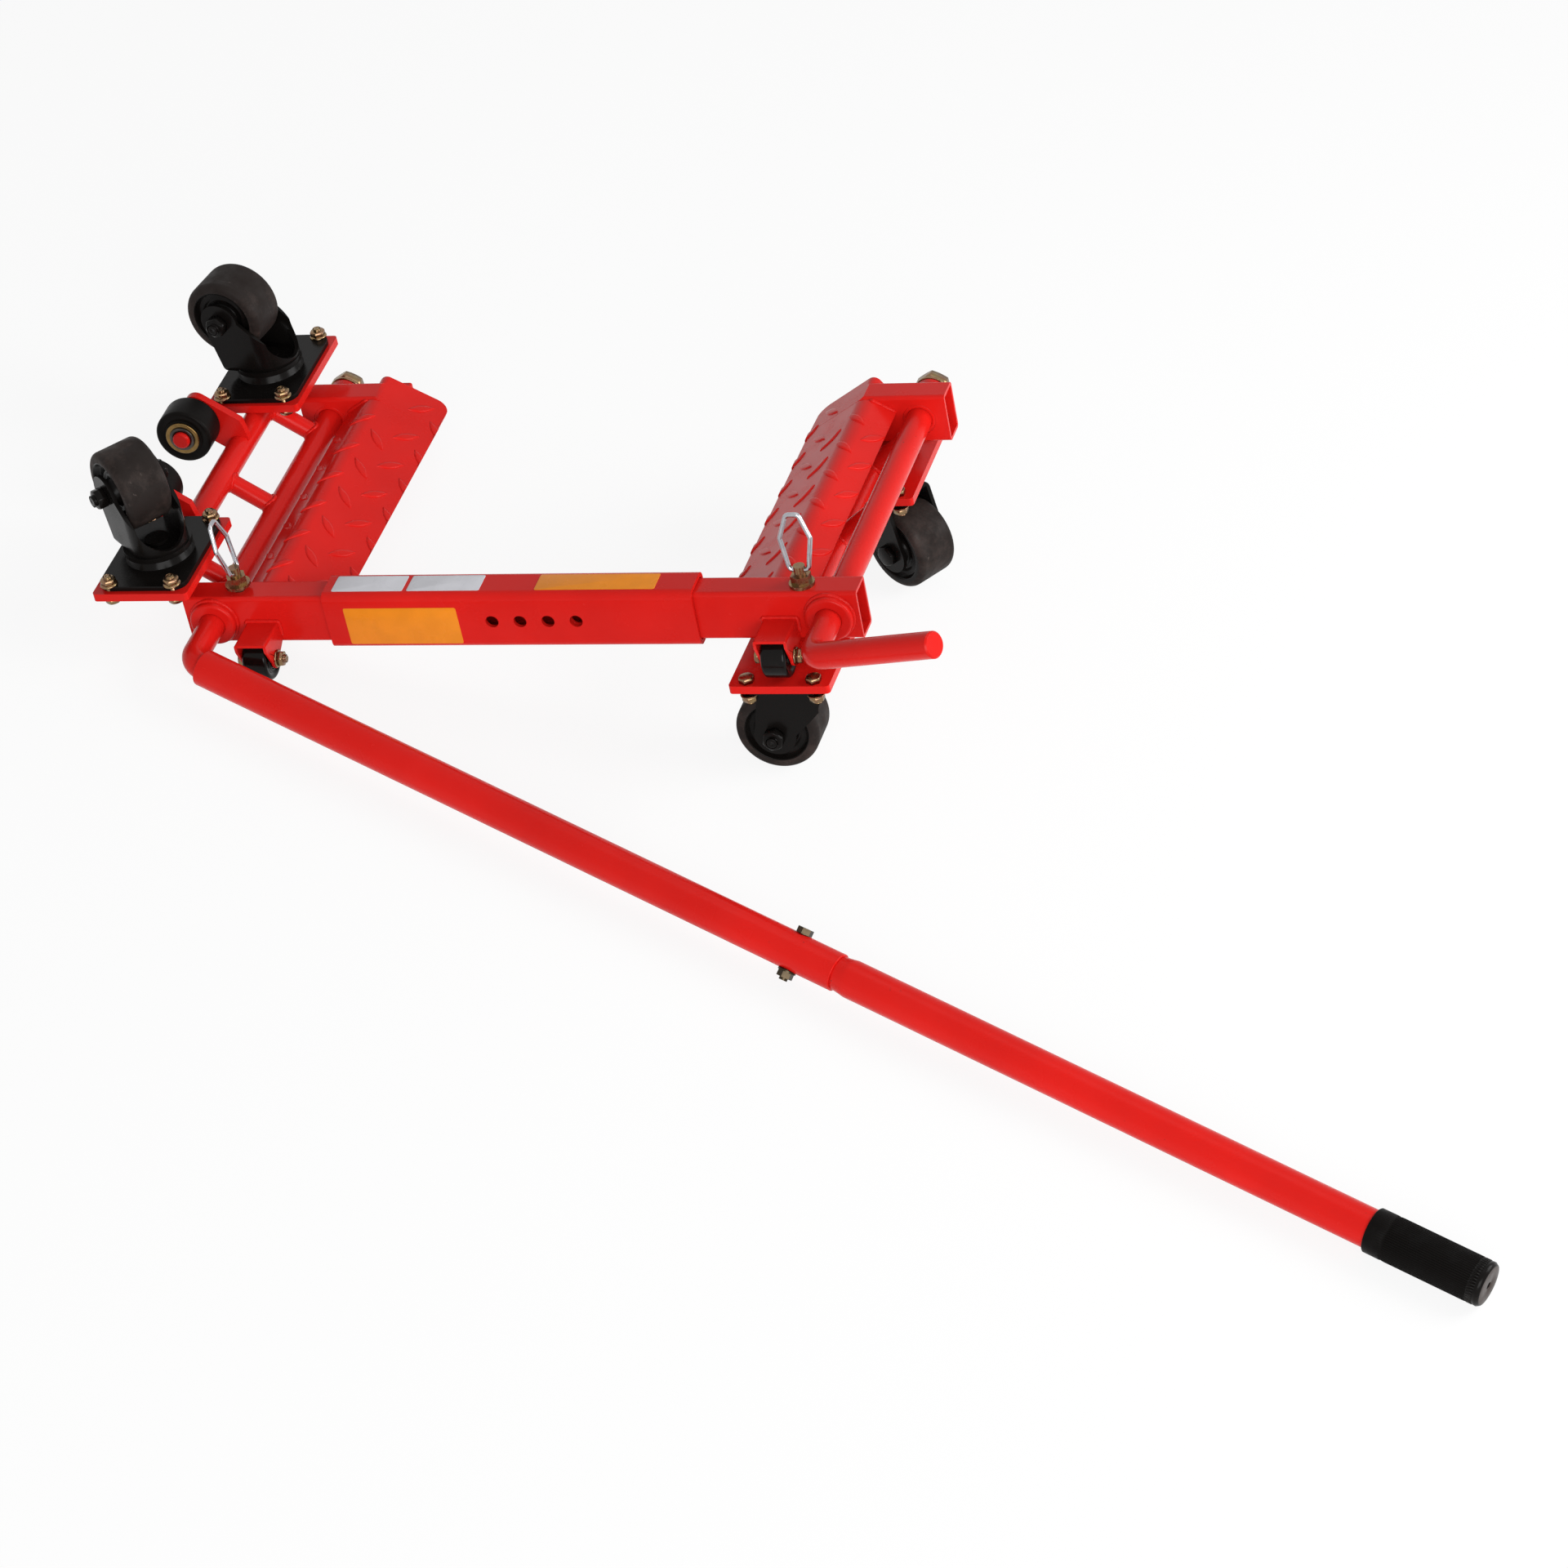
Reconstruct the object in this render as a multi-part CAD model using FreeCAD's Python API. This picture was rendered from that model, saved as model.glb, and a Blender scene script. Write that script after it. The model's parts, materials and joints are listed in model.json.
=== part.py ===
import FreeCAD, Part
import math
import os

# Lever-type wheel dolly: two mirror-image halves on a telescoping bar.
# Each half has a tread plate that meets the tyre and a swinging ladder that
# carries two casters.  The left half is down on its small wheels with its
# casters swung up, the right half is lifted on its casters, and the slip-on
# lever sits on the left crank with its grip on the floor.
#
# Bar frame: X along the bar to the right, Y away from the cranks, Z up, with
# the pivot axes at Z = 0 and the front face of the slide tubes at Y = 0.
# Half frame: the same, but X starts at the pivot axis and points inboard.
# Lengths are millimetres, angles are degrees.

V = FreeCAD.Vector

# Telescoping bar
pivot_spacing = 605.0
tube_height = 50.0
tube_depth = 30.0
tube_wall = 3.0
tube_corner = 4.0
tube_overhang = 28.0
slide_tube_gap = 95.0
sleeve_length = 363.0
sleeve_wall = 4.0
sleeve_play = 1.0
sleeve_offset = -6.0
index_hole_diameter = 12.5
index_hole_pitch = 27.5
index_hole_count = 4
first_index_hole = -17.0

# Rear tubes and tread plates
bay_width = 317.0
rear_tube_reach = 62.0
tread_thickness = 4.0
tread_apex_inboard = 50.0
tread_apex_height = 26.5
tread_slope = 32.0
tread_face_width = 73.0
tread_lip_slope = 55.0
tread_lip_width = 30.0
tread_bend_radius = 8.0
tread_corner_radius = 14.0
tread_overhang = 12.0

# Pivot bushes
bush_diameter = 32.0
bush_flange_diameter = 45.0
bush_flange_thickness = 8.0
bush_flange_edge = 3.0
bush_boss_length = 20.0
bush_seat_play = 0.05
bush_play = 0.08

# Small wheels and their brackets
bracket_inboard = 48.0
bracket_thickness = 3.0
bracket_top_height = -1.5
bracket_projection = 40.0
bracket_nose = 8.0
bracket_lobe_radius = 9.0
bracket_bend_radius = 2.5
small_wheel_diameter = 40.0
small_wheel_width = 24.0
small_wheel_edge = 3.0
small_wheel_hub_diameter = 18.0
small_wheel_groove_depth = 1.5
small_wheel_side_gap = 1.0
small_wheel_tube_gap = 2.5
small_axle_drop = 28.0
small_wheel_play = 0.1

# Crank bars
bar_diameter = 25.0
crank_plane = 67.0
crank_reach = 148.0
crank_yaw = 19.0
crank_bend_radius = 20.0
crank_tip_chamfer = 1.5
right_crank_angle = 18.0
bar_thread_diameter = 20.0
bar_thread_length = 17.0
shaft_washer_diameter = 34.0
shaft_washer_thickness = 3.0
shaft_nut_width = 30.0
shaft_nut_height = 12.0
shaft_end_play = 0.4

# Swinging ladders
ladder_tube_out = 50.0
ladder_tube_up = 37.5
ladder_tube_diameter = 25.0
ladder_tube_gap = 3.0
rung_diameter = 18.0
rung_inset = 30.0
mount_plate_width = 96.0
mount_plate_depth = 128.0
mount_plate_thickness = 8.0
mount_plate_corner = 4.0
mount_plate_out = 48.0
front_mount_inset = 9.0
rear_mount_inset = 14.0

# Lifting rollers
roller_tube_gap = 11.5
roller_arm_sink = 4.5
roller_arm_margin = 16.5
roller_arm_width = 37.0
roller_arm_rise = 9.0
roller_arm_thickness = 8.0
roller_arm_corner = 12.0
front_arm_inset = 71.0
rear_arm_inset = 100.0
roller_diameter = 56.0
roller_width = 30.0
roller_edge = 2.5
roller_axle_diameter = 17.0
roller_play = 0.1
roller_side_gap = 0.5
roller_washer_diameter = 34.0
roller_washer_thickness = 2.0
roller_clip_diameter = 25.0
roller_clip_thickness = 1.5
roller_axle_end = 4.0
roller_axle_dome = 2.5
retainer_play = 0.05

# Casters
caster_plate_width = 88.0
caster_plate_depth = 118.0
caster_plate_thickness = 5.0
caster_plate_corner = 14.0
caster_trail = 26.0
caster_wheel_diameter = 80.0
caster_wheel_width = 46.0
caster_wheel_edge = 6.0
caster_wheel_top_gap = 12.6
caster_rim_width = 11.0
caster_recess_depth = 7.0
caster_hub_diameter = 27.0
caster_wheel_side_gap = 1.5
caster_hub_gap = 0.3
caster_race_diameter = 60.0
caster_race_flare = 3.0
caster_race_height = 7.0
caster_swivel_gap = 0.4
caster_king_diameter = 14.0
caster_king_head_diameter = 24.0
caster_king_head_height = 3.0
caster_crown_thickness = 5.0
caster_leg_thickness = 4.0
caster_leg_tip_radius = 20.0
caster_leg_shoulder = 34.0
caster_leg_sweep = 26.0
caster_crown_round = 8.0
caster_lip_height = 4.0
caster_axle_diameter = 12.0
caster_axle_play = 0.1
caster_axle_hex = 18.0
caster_axle_head = 7.0
caster_axle_nut = 10.0
caster_axle_tail = 3.0
caster_bolt_width = 64.0
caster_bolt_depth = 110.0
# Direction of each wheel from its swivel axis, seen from above in the bar frame
caster_heading_angle = {
    "left_front": 138.0,
    "left_rear": 170.0,
    "right_front": 180.0,
    "right_rear": -33.0,
}

# M8 bolts and nuts
bolt_diameter = 8.0
bolt_hole_play = 0.1
bolt_hex = 13.0
bolt_head_height = 5.5
bolt_nut_height = 7.0
bolt_washer_diameter = 17.0
bolt_washer_thickness = 1.6
bolt_tail = 2.5

# Lock pins and their wire bails
pin_inboard = 26.0
pin_diameter = 10.0
pin_play = 0.3
pin_tip_gap = 5.0
pin_chamfer = 2.0
pin_washer_diameter = 24.0
pin_washer_thickness = 3.0
pin_hex = 17.0
pin_hex_height = 8.0
pin_neck_diameter = 11.0
pin_neck_height = 9.0
pin_raise = {"left": 5.0, "right": 0.0}
bail_wire = 4.5
bail_play = 0.15
bail_foot_width = 18.0
bail_width = 29.0
bail_peak_width = 12.0
bail_height = 54.0
bail_shoulder_height = 31.0
bail_end_gap = 0.3
bail_turn_angle = {"left": 90.0, "right": 0.0}
bail_lean_angle = {"left": 10.0, "right": 8.0}

# Lever
lever_diameter = 35.0
lever_bore = 26.0
lever_start = 15.0
lever_joint = 718.0
lever_end = 1362.0
lever_neck_length = 60.0
lever_neck_play = 0.1
lever_neck_wall = 3.0
lever_lower_wall = 3.0
lever_step_length = 6.0
lever_taper_length = 14.0
lever_taper_drop = 2.0
joint_bolt_setback = 45.0
joint_bolt_turn = -45.0
grip_diameter = 41.0
grip_length = 110.0
grip_cap = 4.0
grip_edge = 2.5

# What follows from the driving dimensions
half_height = tube_height / 2
mid_y = tube_depth + bay_width / 2
rear_tube_front = tube_depth + bay_width
rear_face = rear_tube_front + tube_depth
sleeve_height = tube_height + 2 * (sleeve_play + sleeve_wall)
sleeve_depth = tube_depth + 2 * (sleeve_play + sleeve_wall)
bar_radius = bar_diameter / 2
slide_tube_length = pivot_spacing / 2 + tube_overhang - slide_tube_gap / 2
shaft_shoulder = rear_face + bush_boss_length + shaft_end_play
ladder_tube_radius = ladder_tube_diameter / 2
ladder_tube_reach = math.hypot(ladder_tube_out, ladder_tube_up)
ladder_radial = math.degrees(math.atan2(ladder_tube_up, ladder_tube_out))
mount_inner = ladder_tube_up + ladder_tube_radius
mount_outer = mount_inner + mount_plate_thickness
mount_y = {
    "front": tube_depth / 2 + front_mount_inset,
    "rear": rear_tube_front + tube_depth / 2 - rear_mount_inset,
}
mount_pitch = mount_y["rear"] - mount_y["front"]
roller_reach = ladder_tube_reach + ladder_tube_radius + roller_tube_gap + roller_diameter / 2
roller_arm_start = ladder_tube_reach - roller_arm_sink
roller_arm_end = roller_reach + roller_arm_margin
roller_arm_y = {"front": tube_depth + front_arm_inset, "rear": rear_tube_front - rear_arm_inset}
small_wheel_radius = small_wheel_diameter / 2
bracket_width = small_wheel_width + 2 * (small_wheel_side_gap + bracket_thickness)
caster_wheel_radius = caster_wheel_diameter / 2
caster_recess_diameter = caster_wheel_diameter - 2 * caster_rim_width
caster_leg_gap = caster_wheel_width + 2 * caster_wheel_side_gap
caster_fork_width = caster_leg_gap + 2 * caster_leg_thickness
caster_crown_top = caster_plate_thickness + caster_race_height + caster_swivel_gap
caster_crown_bottom = caster_crown_top + caster_crown_thickness
caster_axle_drop = caster_crown_bottom + caster_wheel_top_gap + caster_wheel_radius
caster_height = caster_axle_drop + caster_wheel_radius
pin_hex_top = half_height + pin_washer_thickness + pin_hex_height
sides = ("left", "right")
ends = ("front", "rear")
side_sign = {"left": -1, "right": 1}
lifted = {"left": False, "right": True}

X_AXIS = V(1, 0, 0)
Y_AXIS = V(0, 1, 0)
Z_AXIS = V(0, 0, 1)


# Shape helpers

def box(x0, x1, y0, y1, z0, z1):
    return Part.makeBox(x1 - x0, y1 - y0, z1 - z0, V(x0, y0, z0))


def rod(start, end, radius):
    return Part.makeCylinder(radius, (end - start).Length, start, end - start)


def ring(start, end, outer_radius, inner_radius):
    return rod(start, end, outer_radius).cut(rod(start, end, inner_radius))


def hexagon(start, end, width):
    """Hexagonal prism between two points, with its width across flats."""
    axis = (end - start).normalize()
    first = axis.cross(X_AXIS if abs(axis.x) < 0.9 else Z_AXIS).normalize()
    second = axis.cross(first)
    corner = width / math.sqrt(3)
    turns = [math.radians(60 * step) for step in range(6)]
    points = [start + (first * math.cos(turn) + second * math.sin(turn)) * corner for turn in turns]
    return Part.Face(Part.makePolygon(points + points[:1])).extrude(end - start)


def prism(points, depth):
    """Flat outline of 3-D points, extruded by a vector."""
    return Part.Face(Part.makePolygon(points + points[:1])).extrude(depth)


def edges_along(shape, axis):
    """Straight edges of a shape that run along an axis."""
    found = []
    for edge in shape.Edges:
        if isinstance(edge.Curve, (Part.Line, Part.LineSegment)):
            run = edge.Vertexes[-1].Point - edge.Vertexes[0].Point
            if run.cross(axis).Length < 1e-6 * run.Length:
                found.append(edge)
    return found


def circles_at(shape, point, axis):
    """Circular edges of a shape in the plane through a point."""
    return [edge for edge in shape.Edges
            if isinstance(edge.Curve, Part.Circle) and abs((edge.Curve.Center - point).dot(axis)) < 1e-6]


def rounded_box(x0, x1, y0, y1, z0, z1, axis, radius):
    block = box(x0, x1, y0, y1, z0, z1)
    return block.makeFillet(radius, edges_along(block, axis))


def turned(profile, center, axis):
    """Solid of revolution of (radius, distance along the axis) points."""
    points = [V(radius, 0, distance) for radius, distance in profile]
    face = Part.Face(Part.makePolygon(points + points[:1]))
    solid = face.revolve(V(0, 0, 0), Z_AXIS, 360)
    solid.Placement = FreeCAD.Placement(center, FreeCAD.Rotation(Z_AXIS, axis))
    return solid


def swept_rod(points, radius, bend_radius):
    """Round rod along straight runs joined by tangent arcs."""
    edges = []
    last = points[0]
    for before, corner, after in zip(points, points[1:], points[2:]):
        inward = (before - corner).normalize()
        outward = (after - corner).normalize()
        half_angle = inward.getAngle(outward) / 2
        tangent = bend_radius / math.tan(half_angle)
        middle = corner + (inward + outward).normalize() * (bend_radius / math.sin(half_angle) - bend_radius)
        edges.append(Part.LineSegment(last, corner + inward * tangent).toShape())
        edges.append(Part.Arc(corner + inward * tangent, middle, corner + outward * tangent).toShape())
        last = corner + outward * tangent
    edges.append(Part.LineSegment(last, points[-1]).toShape())
    profile = Part.Wire(Part.makeCircle(radius, points[0], points[1] - points[0]))
    return Part.Wire(edges).makePipeShell([profile], True, True)


def front_and_rear(shape):
    """A front piece and its mirror image at the rear."""
    return [shape, shape.mirror(V(0, mid_y, 0), Y_AXIS)]


def group(shapes):
    return Part.makeCompound(shapes)


def fused(shapes):
    return shapes[0].multiFuse(shapes[1:]).removeSplitter()


def bolt(head_face, nut_face):
    """M8 bolt that clamps from one face to the other, with a washer under its nut."""
    axis = (nut_face - head_face).normalize()
    tail = nut_face + axis * (bolt_nut_height + bolt_tail)
    shank = rod(head_face, tail, bolt_diameter / 2)
    head = hexagon(head_face - axis * bolt_head_height, head_face, bolt_hex)
    washer = rod(nut_face, nut_face + axis * bolt_washer_thickness, bolt_washer_diameter / 2)
    nut = hexagon(nut_face, nut_face + axis * bolt_nut_height, bolt_hex)
    return fused([shank, head, washer, nut])


def bolt_hole(start, end):
    return rod(start, end, bolt_diameter / 2 + bolt_hole_play)


# Telescoping bar

def rectangular_tube(x0, x1, y0, height, depth, wall, corner):
    y1 = y0 + depth
    outer = rounded_box(x0, x1, y0, y1, -height / 2, height / 2, X_AXIS, corner)
    bore = rounded_box(x0, x1, y0 + wall, y1 - wall, wall - height / 2, height / 2 - wall,
                       X_AXIS, corner - wall)
    return outer.cut(bore)


def bar_sleeve():
    front = tube_depth / 2 - sleeve_depth / 2
    start = sleeve_offset - sleeve_length / 2
    sleeve = rectangular_tube(start, start + sleeve_length, front, sleeve_height, sleeve_depth, sleeve_wall,
                              tube_corner + sleeve_wall)
    for index in range(index_hole_count):
        x = sleeve_offset + first_index_hole + index * index_hole_pitch
        hole = rod(V(x, front - 1, 0), V(x, front + sleeve_wall + 1, 0), index_hole_diameter / 2)
        sleeve = sleeve.cut(hole)
    return sleeve


def bush_seat():
    return rod(V(0, -1, 0), V(0, rear_face + 1, 0), bush_diameter / 2 + bush_seat_play)


def pin_foot():
    return V(pin_inboard, tube_depth / 2, 0)


def slide_tube():
    tube = rectangular_tube(-tube_overhang, slide_tube_length - tube_overhang, 0,
                            tube_height, tube_depth, tube_wall, tube_corner)
    reach = V(0, 0, tube_height)
    pin_hole = rod(pin_foot() - reach, pin_foot() + reach, pin_diameter / 2 + pin_play)
    return tube.cut(bush_seat()).cut(pin_hole)


# Tread plate and rear tube

def tread_directions():
    """Unit vectors down the tread face and down the lip."""
    face = math.radians(tread_slope)
    lip = math.radians(tread_lip_slope)
    return V(math.cos(face), 0, -math.sin(face)), V(-math.cos(lip), 0, -math.sin(lip))


def tread_section(y):
    """Folded section: lip edge, apex and face edge outside, then the same inside."""
    down_face, down_lip = tread_directions()
    apex = V(tread_apex_inboard, y, tread_apex_height)
    face_edge = apex + down_face * tread_face_width
    lip_edge = apex + down_lip * tread_lip_width
    under_face = down_face.cross(Y_AXIS) * -tread_thickness
    under_lip = down_lip.cross(Y_AXIS) * tread_thickness
    spread = down_face.getAngle(down_lip)
    inner_apex = apex + (down_face + down_lip).normalize() * (tread_thickness / math.sin(spread / 2))
    return [lip_edge, apex, face_edge, face_edge + under_face, inner_apex, lip_edge + under_lip]


def tread_plate():
    section = tread_section(tube_depth)
    length = rear_face + tread_overhang - tube_depth
    plate = prism(section, V(0, length, 0))

    def bend_edge(corner):
        return [edge for edge in edges_along(plate, Y_AXIS)
                if (edge.Vertexes[0].Point - corner).cross(Y_AXIS).Length < 1e-6]

    plate = plate.makeFillet(tread_bend_radius, bend_edge(section[1]))
    plate = plate.makeFillet(tread_bend_radius - tread_thickness, bend_edge(section[4]))
    down_face = tread_directions()[0]
    normal = down_face.cross(Y_AXIS) * -1
    corner = section[2] + V(0, length, 0)
    through = [edge for edge in edges_along(plate, normal) if edge.distToShape(Part.Vertex(corner))[0] < 1e-6]
    return plate.makeFillet(tread_corner_radius, through)


def rear_tube():
    """Frame tube that ends under the tread plate."""
    tube = rectangular_tube(-tube_overhang, rear_tube_reach, rear_tube_front,
                            tube_height, tube_depth, tube_wall, tube_corner)
    section = tread_section(rear_tube_front)
    depth = V(0, tube_depth, 0)
    rise = V(0, 0, tube_height)
    above_face = prism([section[1], section[2], section[2] + rise, section[1] + rise], depth)
    return tube.cut(above_face).cut(tread_plate()).cut(bush_seat())


# Pivot bushes, brackets and small wheels

def pivot_bushes():
    """Flanged bush in the slide tube and long bush in the rear tube."""
    bore = bar_radius + bush_play
    flange_face = V(0, -bush_flange_thickness, 0)
    flange = rod(flange_face, V(0, 0, 0), bush_flange_diameter / 2)
    flange = flange.makeFillet(bush_flange_edge, circles_at(flange, flange_face, Y_AXIS))
    barrel = rod(V(0, 0, 0), V(0, tube_depth, 0), bush_diameter / 2)
    front = fused([flange, barrel]).cut(rod(flange_face, V(0, tube_depth, 0), bore))
    boss_end = V(0, rear_face + bush_boss_length, 0)
    rear = ring(V(0, rear_tube_front, 0), boss_end, bush_diameter / 2, bore)
    return group([front, rear])


def small_wheel_center(end):
    front = -small_wheel_radius - small_wheel_tube_gap
    return V(bracket_inboard, front if end == "front" else 2 * mid_y - front, -small_axle_drop)


def bracket_side(x):
    """Side plate with a round lobe at the axle."""
    axle = V(x, small_wheel_center("front").y, -small_axle_drop)
    top = bracket_top_height
    outline = [V(x, 0, top), V(x, -bracket_projection, top), V(x, -bracket_projection, top - bracket_nose),
               axle - Y_AXIS * bracket_lobe_radius, axle + Y_AXIS * bracket_lobe_radius,
               V(x, 0, tube_corner - half_height)]
    depth = X_AXIS * bracket_thickness
    lobe = rod(axle, axle + depth, bracket_lobe_radius)
    return fused([prism(outline, depth), lobe]).cut(bolt_hole(axle, axle + depth))


def wheel_bracket():
    left = bracket_inboard - bracket_width / 2
    right = bracket_inboard + bracket_width / 2
    top = box(left, right, -bracket_projection, 0, bracket_top_height - bracket_thickness, bracket_top_height)
    strap = fused([top, bracket_side(left), bracket_side(right - bracket_thickness)])
    bends = [edge for edge in edges_along(strap, Y_AXIS)
             if abs(edge.Vertexes[0].Point.z - bracket_top_height) < 1e-6]
    return strap.makeFillet(bracket_bend_radius, bends)


def wheel_brackets():
    return group(front_and_rear(wheel_bracket()))


def small_wheel(end):
    half = small_wheel_width / 2
    radius = small_wheel_radius
    rim = radius - 2 * small_wheel_edge
    shoulder = radius - small_wheel_edge
    hub = small_wheel_hub_diameter / 2
    groove = half - small_wheel_groove_depth
    one_side = [(hub, half), (hub, groove), (rim, groove), (rim, half), (shoulder, half),
                (radius, half - small_wheel_edge)]
    bore = bolt_diameter / 2 + small_wheel_play
    other_side = [(r, -z) for r, z in reversed(one_side)]
    profile = [(bore, half)] + one_side + other_side + [(bore, -half)]
    return turned(profile, small_wheel_center(end), X_AXIS)


def small_wheel_bolts(side):
    """Axle bolts with their nuts to the right."""
    inboard = V(-side_sign[side] * bracket_width / 2, 0, 0)
    centers = [small_wheel_center(end) for end in ends]
    return group([bolt(center - inboard, center + inboard) for center in centers])


# Swinging ladders, drawn with the casters up

def crank_corner():
    return V(0, -crank_plane, 0)


def crank_direction(angle):
    yaw = math.radians(crank_yaw)
    drop = math.radians(angle)
    return V(math.cos(drop) * math.cos(yaw), -math.sin(yaw), -math.sin(drop) * math.cos(yaw))


def crank_bar(angle):
    shoulder = V(0, shaft_shoulder, 0)
    direction = crank_direction(angle)
    tip = crank_corner() + direction * crank_reach
    bar = swept_rod([shoulder, crank_corner(), tip], bar_radius, crank_bend_radius)
    bar = bar.makeChamfer(crank_tip_chamfer, circles_at(bar, tip, direction))
    thread = rod(shoulder, shoulder + Y_AXIS * bar_thread_length, bar_thread_diameter / 2)
    return fused([bar, thread])


def ladder_tube_point(y):
    return V(-ladder_tube_out, y, ladder_tube_up)


def caster_tube():
    """Outer tube, which stays between the frame tubes when the half is lifted."""
    start = tube_depth + ladder_tube_gap
    return rod(ladder_tube_point(start), ladder_tube_point(2 * mid_y - start), ladder_tube_radius)


def rungs():
    bar = rod(V(0, 0, 0), V(0, rear_face, 0), bar_radius)
    pieces = []
    first = tube_depth + rung_inset
    for y in (first, mid_y, 2 * mid_y - first):
        rung = rod(V(0, y, 0), ladder_tube_point(y), rung_diameter / 2)
        pieces.append(rung.cut(bar).cut(caster_tube()))
    return group(pieces)


def caster_seat(end):
    """Middle of the mount plate's outer face, where the swivel axis starts."""
    return V(-mount_plate_out, mount_y[end], mount_outer)


def bolt_offsets():
    half_width = caster_bolt_width / 2
    half_depth = caster_bolt_depth / 2
    return [V(x, y, 0) for x in (-half_width, half_width) for y in (-half_depth, half_depth)]


def mount_plates():
    plates = []
    thickness = V(0, 0, mount_plate_thickness)
    for end in ends:
        seat = caster_seat(end)
        plate = rounded_box(seat.x - mount_plate_width / 2, seat.x + mount_plate_width / 2,
                            seat.y - mount_plate_depth / 2, seat.y + mount_plate_depth / 2,
                            mount_inner, mount_outer, Z_AXIS, mount_plate_corner)
        for offset in bolt_offsets():
            plate = plate.cut(bolt_hole(seat + offset - thickness, seat + offset))
        plates.append(plate)
    lock_hole = V(-pin_inboard, tube_depth / 2, mount_inner)
    plates[0] = plates[0].cut(rod(lock_hole, lock_hole + thickness, pin_diameter / 2 + pin_play))
    return group(plates)


def caster_bolts():
    """Bolts with their heads towards the pivot and their nuts on the caster plates."""
    clamp_start = V(0, 0, -mount_plate_thickness)
    clamp_end = V(0, 0, caster_plate_thickness)
    places = [caster_seat(end) + offset for end in ends for offset in bolt_offsets()]
    return group([bolt(place + clamp_start, place + clamp_end) for place in places])


# Lifting rollers, which face each other between their arms

def radial(distance, rise, y):
    """Point on the line from the pivot axis through the ladder tube, and its offset."""
    angle = math.radians(ladder_radial)
    return V(-distance * math.cos(angle) + rise * math.sin(angle), y,
             distance * math.sin(angle) + rise * math.cos(angle))


def roller_faces(end):
    """Y of each face along a roller's axle, from its arm to the axle's end."""
    away = -1 if end == "rear" else 1
    faces = {}
    y = roller_arm_y[end] + away * roller_arm_thickness / 2
    steps = [("arm", 0), ("roller_back", roller_side_gap), ("roller_front", roller_width),
             ("washer_back", roller_side_gap), ("washer_front", roller_washer_thickness),
             ("clip_front", roller_clip_thickness), ("axle_end", roller_axle_end)]
    for name, step in steps:
        y += away * step
        faces[name] = y
    return faces


def roller_arm(end):
    """Gusset from the ladder tube with the roller's axle on it."""
    faces = roller_faces(end)
    middle = roller_arm_y[end]
    back = 2 * middle - faces["arm"]
    low = roller_arm_rise - roller_arm_width / 2
    high = roller_arm_rise + roller_arm_width / 2
    corners = [radial(roller_arm_start, low, back), radial(roller_arm_end, low, back),
               radial(roller_arm_end, high, back), radial(ladder_tube_reach + ladder_tube_radius, high, back),
               radial(roller_arm_start, ladder_tube_radius, back)]
    blank = prism(corners, V(0, faces["arm"] - back, 0))
    outer = [edge for edge in edges_along(blank, Y_AXIS)
             if min((edge.Vertexes[0].Point - corner).cross(Y_AXIS).Length for corner in corners[1:3]) < 1e-6]
    blank = blank.makeFillet(roller_arm_corner, outer)
    axle_end = radial(roller_reach, 0, faces["axle_end"])
    axle = rod(radial(roller_reach, 0, faces["arm"]), axle_end, roller_axle_diameter / 2)
    axle = axle.makeFillet(roller_axle_dome, circles_at(axle, axle_end, Y_AXIS))
    return fused([blank, axle]).cut(caster_tube())


def roller_arms():
    return group([roller_arm(end) for end in ends])


def roller(end):
    faces = roller_faces(end)
    bore = roller_axle_diameter / 2 + roller_play
    radius = roller_diameter / 2
    shoulder = radius - roller_edge
    profile = [(bore, 0), (shoulder, 0), (radius, roller_edge), (radius, roller_width - roller_edge),
               (shoulder, roller_width), (bore, roller_width)]
    first = min(faces["roller_front"], faces["roller_back"])
    return turned(profile, radial(roller_reach, 0, first), Y_AXIS)


def axle_retainers():
    """Roller washers and clips, and the washer and nut on the crank bar."""
    bore = roller_axle_diameter / 2 + retainer_play
    pieces = []
    for end in ends:
        points = {name: radial(roller_reach, 0, y) for name, y in roller_faces(end).items()}
        pieces.append(ring(points["washer_front"], points["washer_back"], roller_washer_diameter / 2, bore))
        pieces.append(ring(points["clip_front"], points["washer_front"], roller_clip_diameter / 2, bore))
    nut_start = V(0, shaft_shoulder + shaft_washer_thickness, 0)
    nut_end = nut_start + Y_AXIS * shaft_nut_height
    thread = rod(V(0, shaft_shoulder, 0), nut_end, bar_thread_diameter / 2 + retainer_play)
    shaft_washer = rod(V(0, shaft_shoulder, 0), nut_start, shaft_washer_diameter / 2).cut(thread)
    nut = hexagon(nut_start, nut_end, shaft_nut_width).cut(thread)
    return group(pieces + [shaft_washer, nut])


# Casters, drawn wheel down with the swivel axis on Z and the trail along X

def down(distance):
    return V(0, 0, -distance)


def caster_axle_point(y):
    return V(caster_trail, y, -caster_axle_drop)


def caster_plate():
    """Top plate with its race and king pin."""
    half_width = caster_plate_width / 2
    half_depth = caster_plate_depth / 2
    plate = rounded_box(-half_width, half_width, -half_depth, half_depth, -caster_plate_thickness, 0,
                        Z_AXIS, caster_plate_corner)
    for offset in bolt_offsets():
        plate = plate.cut(bolt_hole(offset, offset + down(caster_plate_thickness)))
    race_radius = caster_race_diameter / 2
    race = Part.makeCone(race_radius + caster_race_flare, race_radius, caster_race_height,
                         down(caster_plate_thickness), down(1))
    head_top = caster_crown_bottom + caster_swivel_gap
    king = rod(down(caster_plate_thickness), down(head_top), caster_king_diameter / 2)
    head = rod(down(head_top), down(head_top + caster_king_head_height), caster_king_head_diameter / 2)
    return fused([plate, race, king, head])


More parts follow.
